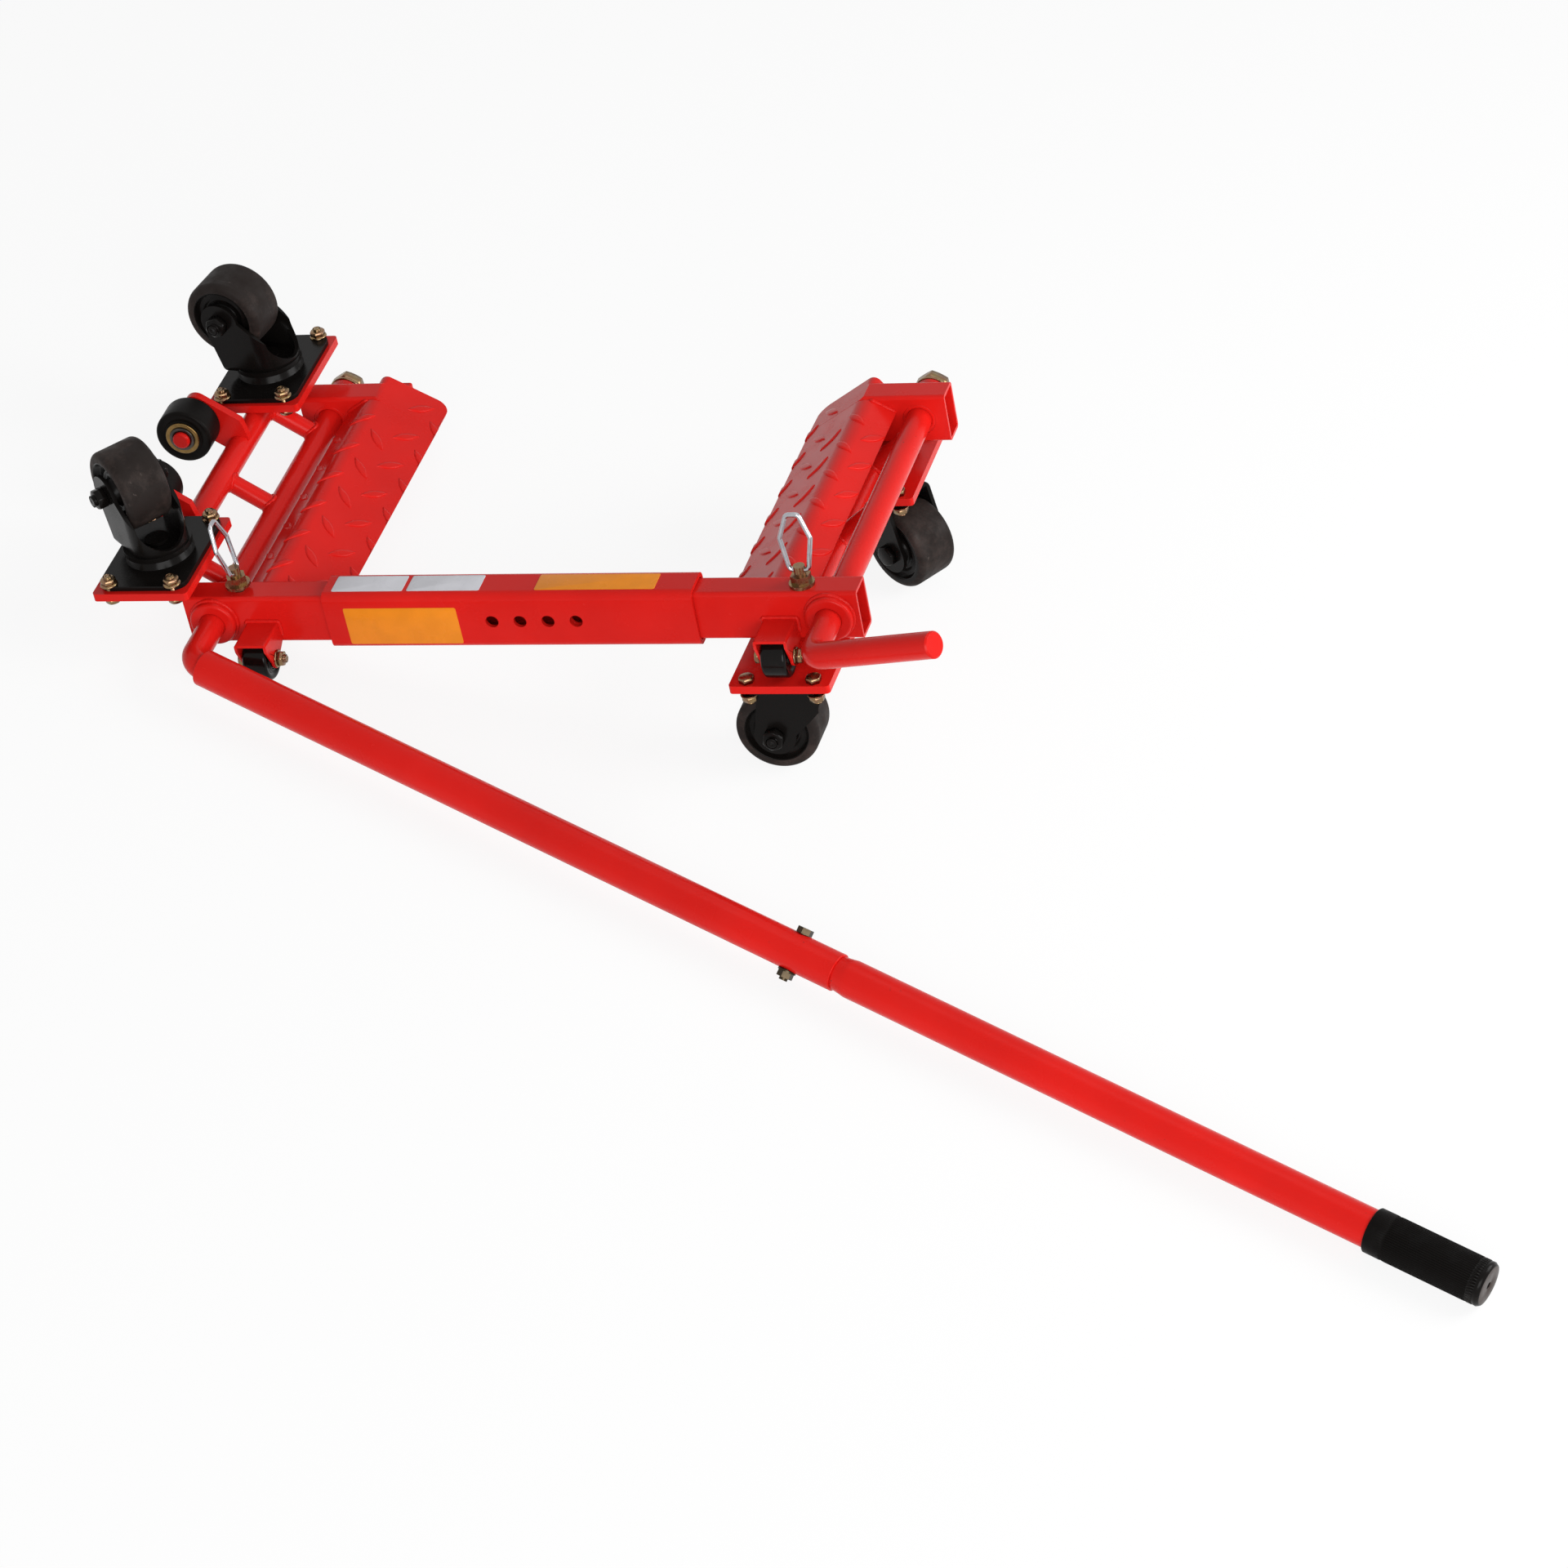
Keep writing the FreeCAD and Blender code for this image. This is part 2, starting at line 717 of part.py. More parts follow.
def fork_plan(half_width, start, end):
    """Drawn cup of the fork: half round in front of the swivel axis, open behind, between two depths."""
    front = caster_race_diameter / 2 + caster_race_flare - caster_fork_width / 2
    nose = rod(V(-front, 0, -start), V(-front, 0, -end), half_width)
    tail = caster_trail + caster_leg_tip_radius
    return fused([nose, box(-front, tail, -half_width, half_width, -end, -start)])


def fork_side():
    """Side view of the fork: upright at the crown, then swept to a round tip at the axle."""
    root = caster_race_diameter / 2 + caster_race_flare
    half = caster_fork_width / 2
    tip = caster_axle_point(-half)
    across = X_AXIS * caster_leg_tip_radius
    corner = V(-root, -half, -caster_leg_shoulder)
    outline = [V(-root, -half, -caster_crown_top), V(root, -half, -caster_crown_top),
               tip + across, tip - across, corner]
    depth = Y_AXIS * caster_fork_width
    blank = prism(outline, depth)
    swept = [edge for edge in edges_along(blank, Y_AXIS)
             if (edge.Vertexes[0].Point - corner).cross(Y_AXIS).Length < 1e-6]
    return fused([blank.makeFillet(caster_leg_sweep, swept), rod(tip, tip + depth, caster_leg_tip_radius)])


def caster_fork():
    """Pressed yoke: a cup under the race that rises into two legs, scooped out between them."""
    half = caster_fork_width / 2
    inner = caster_leg_gap / 2
    legs_end = caster_axle_drop + caster_leg_tip_radius
    cup = fork_plan(half, caster_crown_top, legs_end)
    rim = [edge for edge in cup.Edges if edge.BoundBox.ZMin > -caster_crown_top - 1e-6
           and edge.BoundBox.XMax < caster_trail]
    cup = cup.makeFillet(caster_crown_round, rim)
    hollow = fork_plan(inner, caster_crown_bottom, legs_end)
    scoop_top = caster_crown_bottom + caster_lip_height + inner
    reach = X_AXIS * caster_height
    scoop = fused([rod(down(scoop_top) - reach, down(scoop_top) + reach, inner),
                   box(-caster_height, caster_height, -inner, inner, -legs_end, -scoop_top)])
    top = down(caster_crown_top)
    bottom = down(caster_crown_bottom)
    disc = rod(top, bottom, caster_race_diameter / 2 + caster_race_flare)
    king_hole = rod(top, bottom, caster_king_diameter / 2 + caster_swivel_gap)
    axle_radius = caster_axle_diameter / 2 + bolt_hole_play
    axle_hole = rod(caster_axle_point(-half), caster_axle_point(half), axle_radius)
    body = cup.common(fork_side()).cut(hollow).cut(scoop)
    return fused([body, disc]).cut(king_hole).cut(axle_hole)


def caster_wheel():
    """Solid wheel with round edges and a recessed hub on both sides."""
    half = caster_wheel_width / 2
    radius = caster_wheel_radius
    bevel = caster_wheel_edge * (1 - math.sqrt(0.5))
    hub_face = caster_leg_gap / 2 - caster_hub_gap
    hub = caster_hub_diameter / 2
    recess = caster_recess_diameter / 2
    floor = half - caster_recess_depth
    one_side = [(hub, hub_face), (hub, floor), (recess, floor), (recess, half),
                (radius - caster_wheel_edge, half), (radius - bevel, half - bevel),
                (radius, half - caster_wheel_edge)]
    other_side = [(r, -z) for r, z in reversed(one_side)]
    bore = caster_axle_diameter / 2 + caster_axle_play
    profile = [(bore, hub_face)] + one_side + other_side + [(bore, -hub_face)]
    return turned(profile, caster_axle_point(0), Y_AXIS)


def caster_axle():
    half = caster_fork_width / 2
    nut_end = half + caster_axle_nut
    tail = caster_axle_point(nut_end + caster_axle_tail)
    shank = rod(caster_axle_point(-half), tail, caster_axle_diameter / 2)
    head = hexagon(caster_axle_point(-half - caster_axle_head), caster_axle_point(-half), caster_axle_hex)
    nut = hexagon(caster_axle_point(half), caster_axle_point(nut_end), caster_axle_hex)
    return fused([shank, head, nut])


# Lock pins and bails

def bail_pivot():
    """Centre of the cross hole that the bail swings in."""
    return pin_foot() + Z_AXIS * (pin_hex_top + pin_neck_height / 2)


def lock_pin(side):
    foot = pin_foot()
    tip = foot + Z_AXIS * (pin_tip_gap - mount_inner)
    washer_base = foot + Z_AXIS * half_height
    hex_base = washer_base + Z_AXIS * pin_washer_thickness
    neck_base = foot + Z_AXIS * pin_hex_top
    shank = rod(tip, washer_base, pin_diameter / 2)
    shank = shank.makeChamfer(pin_chamfer, circles_at(shank, tip, Z_AXIS))
    washer = rod(washer_base, hex_base, pin_washer_diameter / 2)
    head = hexagon(hex_base, neck_base, pin_hex)
    neck = rod(neck_base, neck_base + Z_AXIS * pin_neck_height, pin_neck_diameter / 2)
    cross = X_AXIS * pin_neck_diameter
    hole = rod(bail_pivot() - cross, bail_pivot() + cross, bail_wire / 2 + bail_play)
    pin = fused([shank, washer, head, neck]).cut(hole)
    pin.rotate(foot, Z_AXIS, bail_turn_angle[side])
    return pin


def bail(side):
    """Wire loop with square shoulders that swings through the pin's neck."""
    foot = bail_foot_width / 2
    half = bail_width / 2
    peak = bail_peak_width / 2
    points = [V(bail_end_gap / 2, 0, 0), V(foot, 0, 0), V(half, 0, bail_shoulder_height),
              V(peak, 0, bail_height), V(-peak, 0, bail_height),
              V(-half, 0, bail_shoulder_height), V(-foot, 0, 0), V(-bail_end_gap / 2, 0, 0)]
    loop = swept_rod(points, bail_wire / 2, bail_wire)
    loop.rotate(V(0, 0, 0), X_AXIS, -bail_lean_angle[side])
    loop.rotate(V(0, 0, 0), Z_AXIS, bail_turn_angle[side])
    loop.translate(bail_pivot())
    return loop


# Lever, drawn along X from the crank's corner

def along(distance):
    return V(distance, 0, 0)


def joint_bolt_faces():
    """Where the joint bolt's head and nut meet the lever."""
    middle = along(lever_joint - joint_bolt_setback)
    turn = math.radians(joint_bolt_turn)
    half = V(0, -math.sin(turn), math.cos(turn)) * (lever_diameter / 2)
    return middle + half, middle - half


def lever_upper_tube():
    tube = ring(along(lever_start), along(lever_joint), lever_diameter / 2, lever_bore / 2)
    return tube.cut(bolt_hole(*joint_bolt_faces()))


def lever_lower_tube():
    """Tube with a swaged neck that plugs into the upper tube."""
    radius = lever_diameter / 2
    bore = radius - lever_lower_wall
    neck = lever_bore / 2 - lever_neck_play
    neck_bore = neck - lever_neck_wall
    neck_end = lever_joint - lever_neck_length
    step_end = lever_joint + lever_step_length
    tube_end = lever_end - grip_cap
    taper_end = lever_joint + lever_taper_length
    profile = [(neck_bore, neck_end), (neck, neck_end), (neck, lever_joint),
               (radius - lever_taper_drop, lever_joint), (radius, taper_end), (radius, tube_end),
               (bore, tube_end), (bore, step_end), (neck_bore, step_end)]
    return turned(profile, V(0, 0, 0), X_AXIS).cut(bolt_hole(*joint_bolt_faces()))


def lever_grip():
    start = along(lever_end - grip_length)
    outer = rod(start, along(lever_end), grip_diameter / 2)
    rims = circles_at(outer, start, X_AXIS) + circles_at(outer, along(lever_end), X_AXIS)
    outer = outer.makeFillet(grip_edge, rims)
    return outer.cut(rod(start, along(lever_end - grip_cap), lever_diameter / 2))


def lever_joint_bolt():
    """Cross bolt whose head and nut sit on the round tube."""
    tube = rod(along(lever_start), along(lever_joint), lever_diameter / 2)
    head_face, nut_face = joint_bolt_faces()
    shank = rod(head_face, nut_face, bolt_diameter / 2)
    return fused([bolt(head_face, nut_face).cut(tube), shank])


# Placing: half frame to bar frame, and bar frame to the floor

def mirror_x():
    matrix = FreeCAD.Matrix()
    matrix.A11 = -1
    return matrix


def shift(offset):
    matrix = FreeCAD.Matrix()
    matrix.move(offset)
    return matrix


def half_to_bar(side):
    flip = mirror_x() if side == "right" else FreeCAD.Matrix()
    return shift(V(side_sign[side] * pivot_spacing / 2, 0, 0)).multiply(flip)


def ladder_to_bar(side):
    swing = FreeCAD.Matrix()
    if lifted[side]:
        swing.rotateY(math.pi)
    return half_to_bar(side).multiply(swing)


def caster_to_bar(side, end):
    """Caster on its mount plate, headed, and wheel up where its half is down."""
    heading = FreeCAD.Matrix()
    if not lifted[side]:
        heading.A33 = -1
    heading.rotateZ(math.radians(caster_heading_angle[side + "_" + end]))
    return shift(ladder_to_bar(side).multVec(caster_seat(end))).multiply(heading)


def lever_to_bar(angle):
    placement = FreeCAD.Placement(crank_corner(), FreeCAD.Rotation(X_AXIS, crank_direction(angle)))
    return half_to_bar("left").multiply(placement.toMatrix())


def twist_matrix(twist):
    """Turn of the right half about the middle line of the bar, rear side down."""
    matrix = shift(V(0, -tube_depth / 2, 0))
    matrix.rotateX(-twist)
    matrix.move(V(0, tube_depth / 2, 0))
    return matrix


def lowest(matrix, center, axis, radius, half_width, edge, up):
    """Height of the lowest point of a round-edged wheel after a move."""
    middle = matrix.multVec(center)
    lean = abs((matrix.multVec(center + axis) - middle).dot(up))
    reach = (radius - edge) * math.sqrt(1 - lean * lean) + (half_width - edge) * lean + edge
    return middle.dot(up) - reach


def stance():
    """Tilt of the bar, twist of the right half in the sleeve, and left crank angle at rest."""
    tilt = 0.0
    twist = 0.0
    crank = 0.0
    floor = 0.0
    for _ in range(60):
        up = V(math.sin(tilt), 0, math.cos(tilt))
        floor = lowest(half_to_bar("left"), small_wheel_center("front"), X_AXIS, small_wheel_radius,
                       small_wheel_width / 2, small_wheel_edge, up)
        casters = [twist_matrix(twist).multiply(caster_to_bar("right", end)) for end in ends]
        front, rear = [lowest(caster, caster_axle_point(0), Y_AXIS, caster_wheel_radius,
                              caster_wheel_width / 2, caster_wheel_edge, up) for caster in casters]
        grip = lowest(lever_to_bar(math.degrees(crank)), along(lever_end - grip_length / 2), X_AXIS,
                      grip_diameter / 2, grip_length / 2, grip_edge, up)
        tilt -= math.atan2(front - floor, pivot_spacing)
        twist += math.atan2(rear - front, mount_pitch)
        crank += math.atan2(grip - floor, lever_end)
    return tilt, twist, math.degrees(crank), floor


bar_tilt, right_twist, left_crank_angle, floor_height = stance()
crank_angle = {"left": left_crank_angle, "right": right_crank_angle}


def bar_to_floor(side):
    matrix = twist_matrix(right_twist if side == "right" else 0.0)
    matrix.rotateY(-bar_tilt)
    matrix.move(V(0, 0, -floor_height))
    return matrix


def placed(shape, matrix):
    """Shape moved by a matrix that may also mirror."""
    if matrix.determinant() < 0:
        shape = shape.mirror(V(0, 0, 0), X_AXIS)
        matrix = matrix.multiply(mirror_x())
    moved = shape.copy()
    moved.Placement = FreeCAD.Placement(matrix).multiply(shape.Placement)
    return moved


# Assembly

def half_pieces(side):
    return {
        "slide_tube": slide_tube(), "rear_tube": rear_tube(), "tread_plate": tread_plate(),
        "pivot_bushes": pivot_bushes(), "wheel_brackets": wheel_brackets(),
        "small_wheel_bolts": small_wheel_bolts(side),
        "front_small_wheel": small_wheel("front"), "rear_small_wheel": small_wheel("rear"),
    }


def ladder_pieces(side):
    return {
        "crank_bar": crank_bar(crank_angle[side]), "caster_tube": caster_tube(), "rungs": rungs(),
        "mount_plates": mount_plates(), "caster_bolts": caster_bolts(), "roller_arms": roller_arms(),
        "front_roller": roller("front"), "rear_roller": roller("rear"), "axle_retainers": axle_retainers(),
    }


def pin_pieces(side):
    return {"lock_pin": lock_pin(side), "bail": bail(side)}


def caster_pieces():
    return {"fork": caster_fork(), "wheel": caster_wheel(), "axle": caster_axle()}


def lever_pieces():
    return {
        "lever_upper_tube": lever_upper_tube(), "lever_lower_tube": lever_lower_tube(),
        "lever_grip": lever_grip(), "lever_joint_bolt": lever_joint_bolt(),
    }


def assembly():
    """Every node's shape, standing on the floor."""
    nodes = {"bar_sleeve": placed(bar_sleeve(), bar_to_floor("left"))}

    def add(prefix, pieces, matrix):
        for name, shape in pieces.items():
            nodes[prefix + name] = placed(shape, matrix)

    for side in sides:
        floor = bar_to_floor(side)
        half = floor.multiply(half_to_bar(side))
        add(side + "_", half_pieces(side), half)
        add(side + "_", ladder_pieces(side), floor.multiply(ladder_to_bar(side)))
        add(side + "_", pin_pieces(side), half.multiply(shift(V(0, 0, pin_raise[side]))))
        for end in ends:
            caster = floor.multiply(caster_to_bar(side, end))
            square = FreeCAD.Matrix()
            square.rotateZ(-math.radians(caster_heading_angle[side + "_" + end]))
            add(side + "_" + end + "_caster_", {"plate": caster_plate()}, caster.multiply(square))
            add(side + "_" + end + "_caster_", caster_pieces(), caster)
    add("", lever_pieces(), bar_to_floor("left").multiply(lever_to_bar(crank_angle["left"])))
    return nodes


def footprint_center(nodes):
    """Middle of the whole object's footprint on the floor."""
    boxes = [shape.optimalBoundingBox(False, False) for shape in nodes.values()]
    x = (min(b.XMin for b in boxes) + max(b.XMax for b in boxes)) / 2
    y = (min(b.YMin for b in boxes) + max(b.YMax for b in boxes)) / 2
    return V(x, y, 0)


nodes = assembly()
origin = footprint_center(nodes)
os.makedirs("parts", exist_ok=True)
for name, shape in nodes.items():
    shape.translate(-origin)
    shape.exportStep("parts/" + name + ".step")
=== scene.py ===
import json
import math

import bmesh
import bpy
from bpy.props import FloatProperty, FloatVectorProperty, IntProperty, PointerProperty
from mathutils import Matrix, Vector, noise


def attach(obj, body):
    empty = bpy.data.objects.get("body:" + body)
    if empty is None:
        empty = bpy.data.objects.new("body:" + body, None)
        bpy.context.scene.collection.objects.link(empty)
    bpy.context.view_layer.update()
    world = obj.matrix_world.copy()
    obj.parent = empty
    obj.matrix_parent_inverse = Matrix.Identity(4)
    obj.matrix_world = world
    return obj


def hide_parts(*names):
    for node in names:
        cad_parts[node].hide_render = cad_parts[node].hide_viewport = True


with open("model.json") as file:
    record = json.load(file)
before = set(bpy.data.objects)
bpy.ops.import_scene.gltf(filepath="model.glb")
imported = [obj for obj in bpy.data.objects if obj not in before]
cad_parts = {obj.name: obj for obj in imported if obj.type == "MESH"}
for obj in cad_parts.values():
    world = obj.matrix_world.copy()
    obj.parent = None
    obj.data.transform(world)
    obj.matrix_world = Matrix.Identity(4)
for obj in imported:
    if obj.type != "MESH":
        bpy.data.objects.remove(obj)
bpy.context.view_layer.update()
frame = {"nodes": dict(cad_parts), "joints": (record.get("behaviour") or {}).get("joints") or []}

bl_info = {
    "name": "Wheel Dolly Dresser",
    "version": (1, 0, 0),
    "blender": (4, 5, 0),
    "location": "View3D > Sidebar > Wheel Dolly",
    "description": "Dresses the solids of a lever-type wheel dolly with finishes, welds and fine detail",
    "category": "Object",
}

MM = 0.001
SIDES = ("left", "right")
ENDS = ("front", "rear")


# Frames of the dolly, read from its joints

# Where the left crank bends, in its half's frame
CRANK_CORNER = Vector((0, -67, 0))


def joint(name):
    return next(entry for entry in frame["joints"] if entry["name"] == name)


def frame_matrix(origin, x, y, z):
    """Matrix of a frame from its origin and its three directions."""
    matrix = Matrix((x, y, z)).transposed().to_4x4()
    matrix.translation = origin
    return matrix


def half_frame(side):
    """Millimetre frame of one half: X inboard from the pivot axis, Y to the rear, Z up the lock pin."""
    x = -Vector(joint(side + "_slide")["axis"]) * MM
    y = -Vector(joint(side + "_lift")["axis"]) * MM
    z = Vector(joint(side + "_pin_lift")["axis"]) * MM
    return frame_matrix(Vector(joint(side + "_lift")["pos_m"]), x, y, z)


def ladder_frame(side):
    """Frame of one ladder as drawn with its casters up; the right ladder is swung under."""
    swing = Matrix.Rotation(math.pi, 4, "Y") if side == "right" else Matrix.Identity(4)
    return half_frame(side) @ swing


def bar_frame():
    """Millimetre frame in the middle of the bar: X to the right, Y to the rear."""
    left = Vector(joint("left_lift")["pos_m"])
    right = Vector(joint("right_lift")["pos_m"])
    matrix = half_frame("left")
    matrix.translation = left + matrix.to_3x3() @ Vector(((right - left).length / MM / 2, 0, 0))
    return matrix


def axis_frame(origin, axis):
    """Millimetre frame whose Z follows an axis."""
    turn = Vector(axis).to_track_quat("Z", "Y").to_matrix() * MM
    return frame_matrix(origin, turn.col[0], turn.col[1], turn.col[2])


def spin_frame(name):
    """Frame whose Z is a wheel's axle and whose origin is the joint."""
    entry = joint(name)
    return axis_frame(Vector(entry["pos_m"]), entry["axis"])


def lever_frame():
    """Frame whose Z runs down the lever from the crank's corner."""
    return axis_frame(half_frame("left") @ CRANK_CORNER, joint("lever_pull_off")["axis"])


# Sizes and colours that a user would change

class DollyFinish(bpy.types.PropertyGroup):
    enamel_red: FloatVectorProperty(
        name="Red Enamel", description="Colour of the frame, ladders and lever", subtype="COLOR",
        default=(0.71, 0.0130, 0.0095), min=0, max=1)
    enamel_black: FloatVectorProperty(
        name="Black Enamel", description="Colour of the caster plates and forks", subtype="COLOR",
        default=(0.0065, 0.0055, 0.0050), min=0, max=1)
    tread_grey: FloatVectorProperty(
        name="Wheel Tread", description="Colour of the worn running face of the caster wheels",
        subtype="COLOR", default=(0.0240, 0.0168, 0.0145), min=0, max=1)
    hub_black: FloatVectorProperty(
        name="Hub Black", description="Colour of hubs, rollers and small wheels", subtype="COLOR",
        default=(0.0050, 0.0041, 0.0037), min=0, max=1)
    zinc: FloatVectorProperty(
        name="Yellow Zinc", description="Colour of the plated bolts, nuts and lock pins", subtype="COLOR",
        default=(0.25, 0.175, 0.083), min=0, max=1)
    brass: FloatVectorProperty(
        name="Brass", description="Colour of the roller washers", subtype="COLOR",
        default=(0.23, 0.14, 0.050), min=0, max=1)
    chrome: FloatVectorProperty(
        name="Chrome", description="Colour of the wire bails", subtype="COLOR",
        default=(0.46, 0.46, 0.48), min=0, max=1)
    decal_white: FloatVectorProperty(
        name="White Decal", description="Colour of the blank white decals", subtype="COLOR",
        default=(0.70, 0.70, 0.74), min=0, max=1)
    decal_amber: FloatVectorProperty(
        name="Amber Decal", description="Colour of the blank amber decals", subtype="COLOR",
        default=(0.86, 0.275, 0.014), min=0, max=1)


class DollyDetail(bpy.types.PropertyGroup):
    edge_round: FloatProperty(
        name="Edge Rounding", description="Rounding of painted edges", default=0.6 * MM, min=0,
        unit="LENGTH")
    weld_size: FloatProperty(
        name="Weld Size", description="Radius of the weld beads", default=2.0 * MM, min=0, unit="LENGTH")
    weld_pitch: FloatProperty(
        name="Weld Ripple", description="Distance between ripples of a weld bead", default=2.6 * MM, min=0,
        unit="LENGTH")
    lozenge_size: FloatVectorProperty(
        name="Tread Lozenge", description="Length, width and height of a lozenge of the tread pattern",
        default=(31 * MM, 8.8 * MM, 1.25 * MM), min=0, unit="LENGTH")
    grip_ribs: IntProperty(name="Grip Ribs", description="Ribs round the grip", default=64, min=3)
    decal_thickness: FloatProperty(
        name="Decal Thickness", description="Thickness of the blank decals", default=0.25 * MM, min=0,
        unit="LENGTH")


class DollyStage(bpy.types.PropertyGroup):
    camera_lens: FloatProperty(
        name="Camera Lens", description="Focal length on a 36 mm sensor", default=122.13, min=1)
    floor_grey: FloatProperty(
        name="Floor", description="Paleness of the floor", default=0.93, min=0, max=1, subtype="FACTOR")
    key_power: FloatProperty(
        name="Key Light", description="Power of the main soft light", default=185.0, min=0)
    top_power: FloatProperty(
        name="Top Light", description="Power of the overhead soft light", default=7.0, min=0)
    fill_power: FloatProperty(
        name="Fill Light", description="Power of the side fill", default=46.0, min=0)
    ambient: FloatProperty(
        name="Ambient", description="Strength of the room light", default=0.25, min=0)


# Materials

class Nodes:
    """Shorthand for building a material's node tree."""

    def __init__(self, name):
        self.material = bpy.data.materials.new(name)
        self.material.use_nodes = True
        self.tree = self.material.node_tree
        self.shader = self.tree.nodes["Principled BSDF"]
        coordinates = self.tree.nodes.new("ShaderNodeTexCoord")
        self.place = coordinates.outputs["Object"]

    def add(self, kind, **values):
        node = self.tree.nodes.new(kind)
        for key, value in values.items():
            if key in node.inputs:
                node.inputs[key].default_value = value
            else:
                setattr(node, key, value)
        return node

    def link(self, output, target):
        self.tree.links.new(output, target)

    def noise(self, scale, detail=2.0, rough=0.5, stretch=None):
        texture = self.add("ShaderNodeTexNoise", Scale=scale, Detail=detail, Roughness=rough)
        place = self.place
        if stretch is not None:
            mapping = self.add("ShaderNodeMapping", Scale=stretch)
            self.link(place, mapping.inputs["Vector"])
            place = mapping.outputs["Vector"]
        self.link(place, texture.inputs["Vector"])
        return texture.outputs["Fac"]

    def ramp(self, source, low, high, start=0.0, end=1.0):
        """Map a 0 to 1 source between two limits onto two values."""
        node = self.add("ShaderNodeMapRange")
        for key, value in (("From Min", low), ("From Max", high), ("To Min", start), ("To Max", end)):
            node.inputs[key].default_value = value
        self.link(source, node.inputs["Value"])
        return node.outputs["Result"]

    def clouds(self, scale, detail):
        """Soft patches from 0 to 1."""
        return self.ramp(self.noise(scale, detail), 0.35, 0.65)

    def blend(self, factor, first, second):
        """Colour that goes from first to second with a factor; each is a colour or an output."""
        node = self.add("ShaderNodeMix", data_type="RGBA")
        self.link(factor, node.inputs["Factor"])
        for socket, value in ((node.inputs[6], first), (node.inputs[7], second)):
            if isinstance(value, bpy.types.NodeSocket):
                self.link(value, socket)
            else:
                socket.default_value = (*value, 1)
        return node.outputs[2]

    def set(self, **values):
        for key, value in values.items():
            socket = self.shader.inputs[key.replace("_", " ")]
            if isinstance(value, bpy.types.NodeSocket):
                self.link(value, socket)
            else:
                socket.default_value = value

    def roughen(self, scale, detail, low, high):
        """Roughness that wanders between two values."""
        self.set(Roughness=self.ramp(self.noise(scale, detail), 0.3, 0.7, low, high))

    def bump(self, height, strength, distance):
        node = self.add("ShaderNodeBump", Strength=strength, Distance=distance)
        self.link(height, node.inputs["Height"])
        self.link(node.outputs["Normal"], self.shader.inputs["Normal"])


def shade(colour, share):
    """Darker or paler tone of a colour."""
    return tuple(channel * share for channel in colour)


def gloss_enamel(name, colour, scuff, scuff_amount, gloss):
    """Thick baked enamel with a slight orange peel, tone drift and a few scuffs."""
    nodes = Nodes(name)
    paint = nodes.blend(nodes.clouds(7.0, 3.0), shade(colour, 0.86), colour)
    specks = nodes.ramp(nodes.noise(120.0, 6.0, 0.7), 0.70 - scuff_amount, 0.76 - scuff_amount)
    patches = nodes.ramp(nodes.noise(9.0, 2.0), 0.52, 0.62)
    worn = nodes.add("ShaderNodeMath", operation="MULTIPLY")
    nodes.link(specks, worn.inputs[0])
    nodes.link(patches, worn.inputs[1])
    nodes.set(Base_Color=nodes.blend(worn.outputs[0], paint, scuff), Specular_IOR_Level=gloss)
    nodes.roughen(40.0, 4.0, 0.17, 0.30)
    nodes.bump(nodes.noise(260.0, 2.0), 0.10, 0.0004)
    return nodes.material


def moulded_black(name, colour, dust, roughness, gloss):
    """Moulded nylon or rubber with handling dust."""
    nodes = Nodes(name)
    dusty = nodes.ramp(nodes.noise(34.0, 6.0, 0.65), 0.50, 0.74)
    nodes.set(Base_Color=nodes.blend(dusty, colour, dust), Specular_IOR_Level=gloss)
    nodes.roughen(60.0, 5.0, *roughness)
    nodes.bump(nodes.noise(420.0, 3.0), 0.12, 0.0003)
    return nodes.material


def worn_tread(name, colour, scratched, gloss):
    """Running face of a hard wheel, chalky with floor scuffs."""
    nodes = Nodes(name)
    chalk = nodes.ramp(nodes.noise(26.0, 8.0, 0.72), 0.48, 0.72)
    dull = nodes.blend(chalk, shade(colour, 0.55), shade(colour, 1.9))
    scratch = nodes.ramp(nodes.noise(48.0, 8.0, 0.8, stretch=(1.0, 3.0, 1.0)), 0.63, 0.74)
    nodes.set(Base_Color=nodes.blend(scratch, dull, scratched), Specular_IOR_Level=gloss)
    nodes.roughen(70.0, 5.0, 0.50, 0.80)
    nodes.bump(nodes.noise(170.0, 6.0, 0.7), 0.30, 0.0006)
    return nodes.material


def plated(name, colour, tint, roughness):
    """Bright plating with a soft iridescent tint."""
    nodes = Nodes(name)
    nodes.set(Base_Color=nodes.blend(nodes.clouds(150.0, 4.0), colour, tint), Metallic=1.0)
    nodes.roughen(300.0, 3.0, roughness, roughness + 0.14)
    nodes.bump(nodes.noise(900.0, 2.0), 0.05, 0.0002)
    return nodes.material


def vinyl(name, colour, gloss=0.2):
    """Blank vinyl decal with a faint print mottle."""
    nodes = Nodes(name)
    mottle = nodes.blend(nodes.clouds(55.0, 4.0), colour, shade(colour, 0.92))
    nodes.set(Base_Color=mottle, Specular_IOR_Level=gloss)
    nodes.roughen(30.0, 3.0, 0.24, 0.36)
    nodes.bump(nodes.noise(140.0, 2.0), 0.06, 0.0003)
    return nodes.material


FINISH = {}


